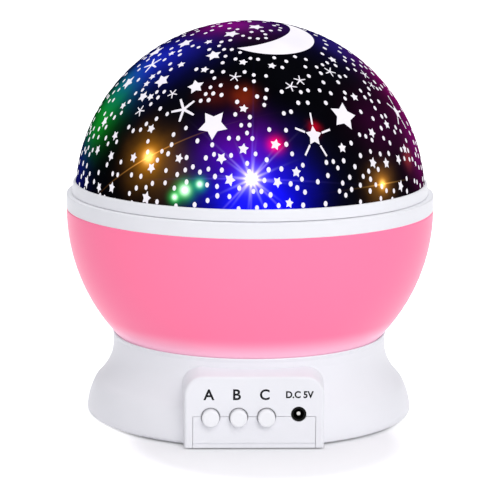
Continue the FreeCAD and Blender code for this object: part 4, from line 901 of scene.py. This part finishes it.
# "end" is where the wide end of a spring stands, to the left and the right by turns.
springLook = {"wire": 0.32, "wireSides": 8, "wide": 3.25, "narrow": 2.2, "length": 6.2, "turns": 5,
              "steps": 28, "end": 25.4, "height": 8.15, "rows": (-0.4, 10.4, 21.2, 32.0)}


# A wire circle carried round and along an axis, then drawn in to a cone.
def makeSprings():
    look = springLook
    pickNothing()
    bpy.ops.mesh.primitive_circle_add(
        vertices=look["wireSides"], radius=look["wire"], location=(look["wide"], 0, look["wire"]),
        rotation=(math.pi / 2, 0, 0))
    coil = newest("springTemplate")
    settle(coil)
    rise = (look["length"] - 2 * look["wire"]) / look["turns"]
    applyModifier(coil, "SCREW", angle=2 * math.pi, screw_offset=rise, iterations=look["turns"],
                  steps=look["steps"], render_steps=look["steps"], axis="Z", use_normal_calculate=True)
    for corner in coil.data.vertices:
        part = corner.co.z / look["length"]
        reach = math.hypot(corner.co.x, corner.co.y)
        pull = 1 - part * (look["wide"] - look["narrow"]) / reach
        corner.co.x *= pull
        corner.co.y *= pull
    editAll()
    bpy.ops.mesh.normals_make_consistent(inside=False)
    bpy.ops.mesh.select_all(action="DESELECT")
    bpy.ops.mesh.select_non_manifold()
    bpy.ops.mesh.edge_face_add()
    leaveEdit()
    springs = []
    for number, row in enumerate(look["rows"]):
        side = -1 if number % 2 == 0 else 1
        spot = Matrix.Translation((side * look["end"] * mm, row * mm, look["height"] * mm))
        turn = Matrix.Rotation(-side * math.pi / 2, 4, "Y")
        springs.append(copyOf(coil, spot @ turn @ Matrix.Scale(mm, 4)))
    discard(coil)
    piece = joinAll("battery_springs_look", springs)
    smooth(piece, 60)
    paint(piece, finishes["spring_steel"])
    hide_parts("battery_springs")
    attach(piece, bodyOf("battery_springs"))
    print("springs: %d coils" % len(springs))


makeScrews()
makeSprings()

# Marks over the buttons and the inlet: text, middle and height in mm, squeeze, boldness. Each goes half
# its depth into the panel's face.
labelLook = {"face": -58.0, "thick": 0.03, "middle": 19.1, "extrude": 0.01, "roundness": 4, "marks": [
    ("A", -15.4, 3.75, 1.0, 0.022), ("B", -5.92, 3.75, 1.0, 0.022), ("C", 3.46, 3.75, 1.0, 0.022),
    ("D.C 5V", 15.33, 2.5, 0.94, 0.034)]}


def makeLabels():
    marks = []
    for text, middle, height, squeeze, bold in labelLook["marks"]:
        pickNothing()
        bpy.ops.object.text_add(location=(0, 0, 0))
        mark = bpy.context.object
        mark.data.body = text
        mark.data.extrude = labelLook["extrude"]
        mark.data.offset = bold
        mark.data.resolution_u = labelLook["roundness"]
        bpy.ops.object.convert(target="MESH")
        mark = newest("mark_%s" % text[0])
        corners = [corner.co for corner in mark.data.vertices]
        low = Vector([min(corner[axis] for corner in corners) for axis in range(3)])
        high = Vector([max(corner[axis] for corner in corners) for axis in range(3)])
        scale = height * mm / (high.y - low.y)
        depth = labelLook["thick"] * 2 * mm / (high.z - low.z)
        mark.data.transform(
            Matrix.Translation((middle * mm, labelLook["face"] * mm, labelLook["middle"] * mm))
            @ Matrix.Rotation(math.pi / 2, 4, "X") @ Matrix.Diagonal((scale * squeeze, scale, depth, 1))
            @ Matrix.Translation(-(low + high) / 2))
        marks.append(mark)
    labels = joinAll("panel_marks", marks)
    paint(labels, labelInk)
    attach(labels, "base")
    print("marks: %d on the panel" % len(marks))


makeLabels()

# Floor, world, lamps and camera, in metres. Round shadeMiddle the floor keeps its soft shade up to
# liftFrom, its real shadow with painted shade over it, as it is lifted there only by nearLift. From
# liftTo on it is lifted to the backdrop's white.
stageLook = {"floorSize": 6.0, "floorColour": (0.80, 0.80, 0.82, 1.0), "cloudScale": 3.0,
             "cloudDeep": 0.985, "roughness": 0.9, "specular": 0.1, "floorLift": 0.8, "nearLift": 0.15,
             "shadeMiddle": (0.005, -0.050, 0), "liftFrom": 0.040, "liftTo": 0.064,
             "worldLight": 0.61, "worldColour": (0.97, 0.98, 1.0, 1.0)}
lampLook = [
    # name, place, aim, size, power, colour
    ("keyLamp", (0.32, -1.24, 0.80), (0, 0, 0.07), (0.9, 0.9), 8.8, (1.0, 0.995, 0.99)),
    ("fillLamp", (1.10, -0.50, 0.45), (0, 0, 0.07), (0.6, 0.8), 0.5, (0.98, 0.99, 1.0)),
    ("topLamp", (0.0, 0.20, 1.30), (0, 0, 0.07), (0.9, 0.9), 4.5, (1.0, 1.0, 1.0)),
]
cameraLook = {"distance": 0.944, "elevation": 10.57, "azimuth": -1.96, "roll": 0.40, "aim": (0, 0, 0.06),
              "sensor": 36.0, "lens": 190.8, "shift": (0.00055, -0.0119)}


def aimAt(thing, target):
    way = Vector(target) - thing.location
    thing.rotation_euler = way.to_track_quat("-Z", "Y").to_euler()


def makeStage():
    pickNothing()
    bpy.ops.mesh.primitive_plane_add(size=stageLook["floorSize"], location=(0, 0, 0))
    floor = newest("studio_floor")
    material, tree, inlets = newMaterial("studioFloor")
    place = addNode(tree, "ShaderNodeTexCoord").outputs["Object"]
    cloud = addNode(tree, "ShaderNodeTexNoise", {"Vector": place, "Scale": stageLook["cloudScale"]})
    deep = shaded(stageLook["floorColour"], stageLook["cloudDeep"])
    tone = mixColours(tree, cloud.outputs["Fac"], stageLook["floorColour"], deep)
    tree.links.new(tone, inlets["Base Color"])
    inlets["Roughness"].default_value = stageLook["roughness"]
    inlets["Specular IOR Level"].default_value = stageLook["specular"]
    paths = addNode(tree, "ShaderNodeLightPath").outputs
    seen = mathNode(tree, "MAXIMUM", paths["Is Camera Ray"], paths["Is Glossy Ray"])
    seen = mathNode(tree, "MAXIMUM", seen, paths["Is Transmission Ray"])
    away = vectorNode(tree, "DISTANCE", place, stageLook["shadeMiddle"], outlet="Value")
    # Painted shade: near shadeMiddle the lift is held back to nearLift, so the floor there is darker on
    # top of its real shadow.
    clear = addNode(tree, "ShaderNodeMapRange", {
        "Value": away, "From Min": stageLook["liftFrom"], "From Max": stageLook["liftTo"],
        "To Min": stageLook["nearLift"]}, interpolation_type="SMOOTHSTEP").outputs["Result"]
    lift = mathNode(tree, "MULTIPLY", mathNode(tree, "MULTIPLY", seen, stageLook["floorLift"]), clear)
    glow = addNode(tree, "ShaderNodeCombineColor", {"Red": lift, "Green": lift, "Blue": lift})
    emit(tree, inlets, glow.outputs[0])
    below = addNode(tree, "ShaderNodeNewGeometry").outputs["Backfacing"]  # clear when seen from below
    tree.links.new(mathNode(tree, "SUBTRACT", 1.0, below), inlets["Alpha"])
    paint(floor, material)


def makeWorld():
    world = bpy.data.worlds.new("studioWorld")
    bpy.context.scene.world = world
    world.use_nodes = True
    tree = world.node_tree
    sky = tree.nodes["Background"]
    sky.inputs["Color"].default_value = stageLook["worldColour"]
    paths = addNode(tree, "ShaderNodeLightPath").outputs
    seen = mathNode(tree, "MAXIMUM", paths["Is Camera Ray"], paths["Is Transmission Ray"])
    level = addNode(tree, "ShaderNodeMapRange", {
        "Value": seen, "To Min": stageLook["worldLight"], "To Max": 1.0}).outputs["Result"]
    tree.links.new(level, sky.inputs["Strength"])


def makeLamps():
    for name, place, aim, size, power, colour in lampLook:
        data = bpy.data.lights.new(name, "AREA")
        data.shape = "RECTANGLE"
        data.size, data.size_y = size
        data.energy = power
        data.color = colour
        lamp = bpy.data.objects.new(name, data)
        bpy.context.scene.collection.objects.link(lamp)
        lamp.location = place
        aimAt(lamp, aim)


def makeCamera():
    data = bpy.data.cameras.new("photoCamera")
    camera = bpy.data.objects.new("photoCamera", data)
    bpy.context.scene.collection.objects.link(camera)
    away = onDome(cameraLook["azimuth"], cameraLook["elevation"])
    camera.location = Vector(cameraLook["aim"]) + away * cameraLook["distance"]
    aimAt(camera, cameraLook["aim"])
    tilt = Quaternion((0, 0, 1), math.radians(cameraLook["roll"]))
    camera.rotation_euler = (camera.rotation_euler.to_quaternion() @ tilt).to_euler()
    data.sensor_width = cameraLook["sensor"]
    data.lens = cameraLook["lens"]
    data.shift_x, data.shift_y = cameraLook["shift"]
    bpy.context.scene.camera = camera


makeStage()
makeWorld()
makeLamps()
makeCamera()
bpy.context.scene.view_settings.view_transform = "Standard"
print("stage: floor, world, %d lamps and the camera" % len(lampLook))

bpy.context.view_layer.update()
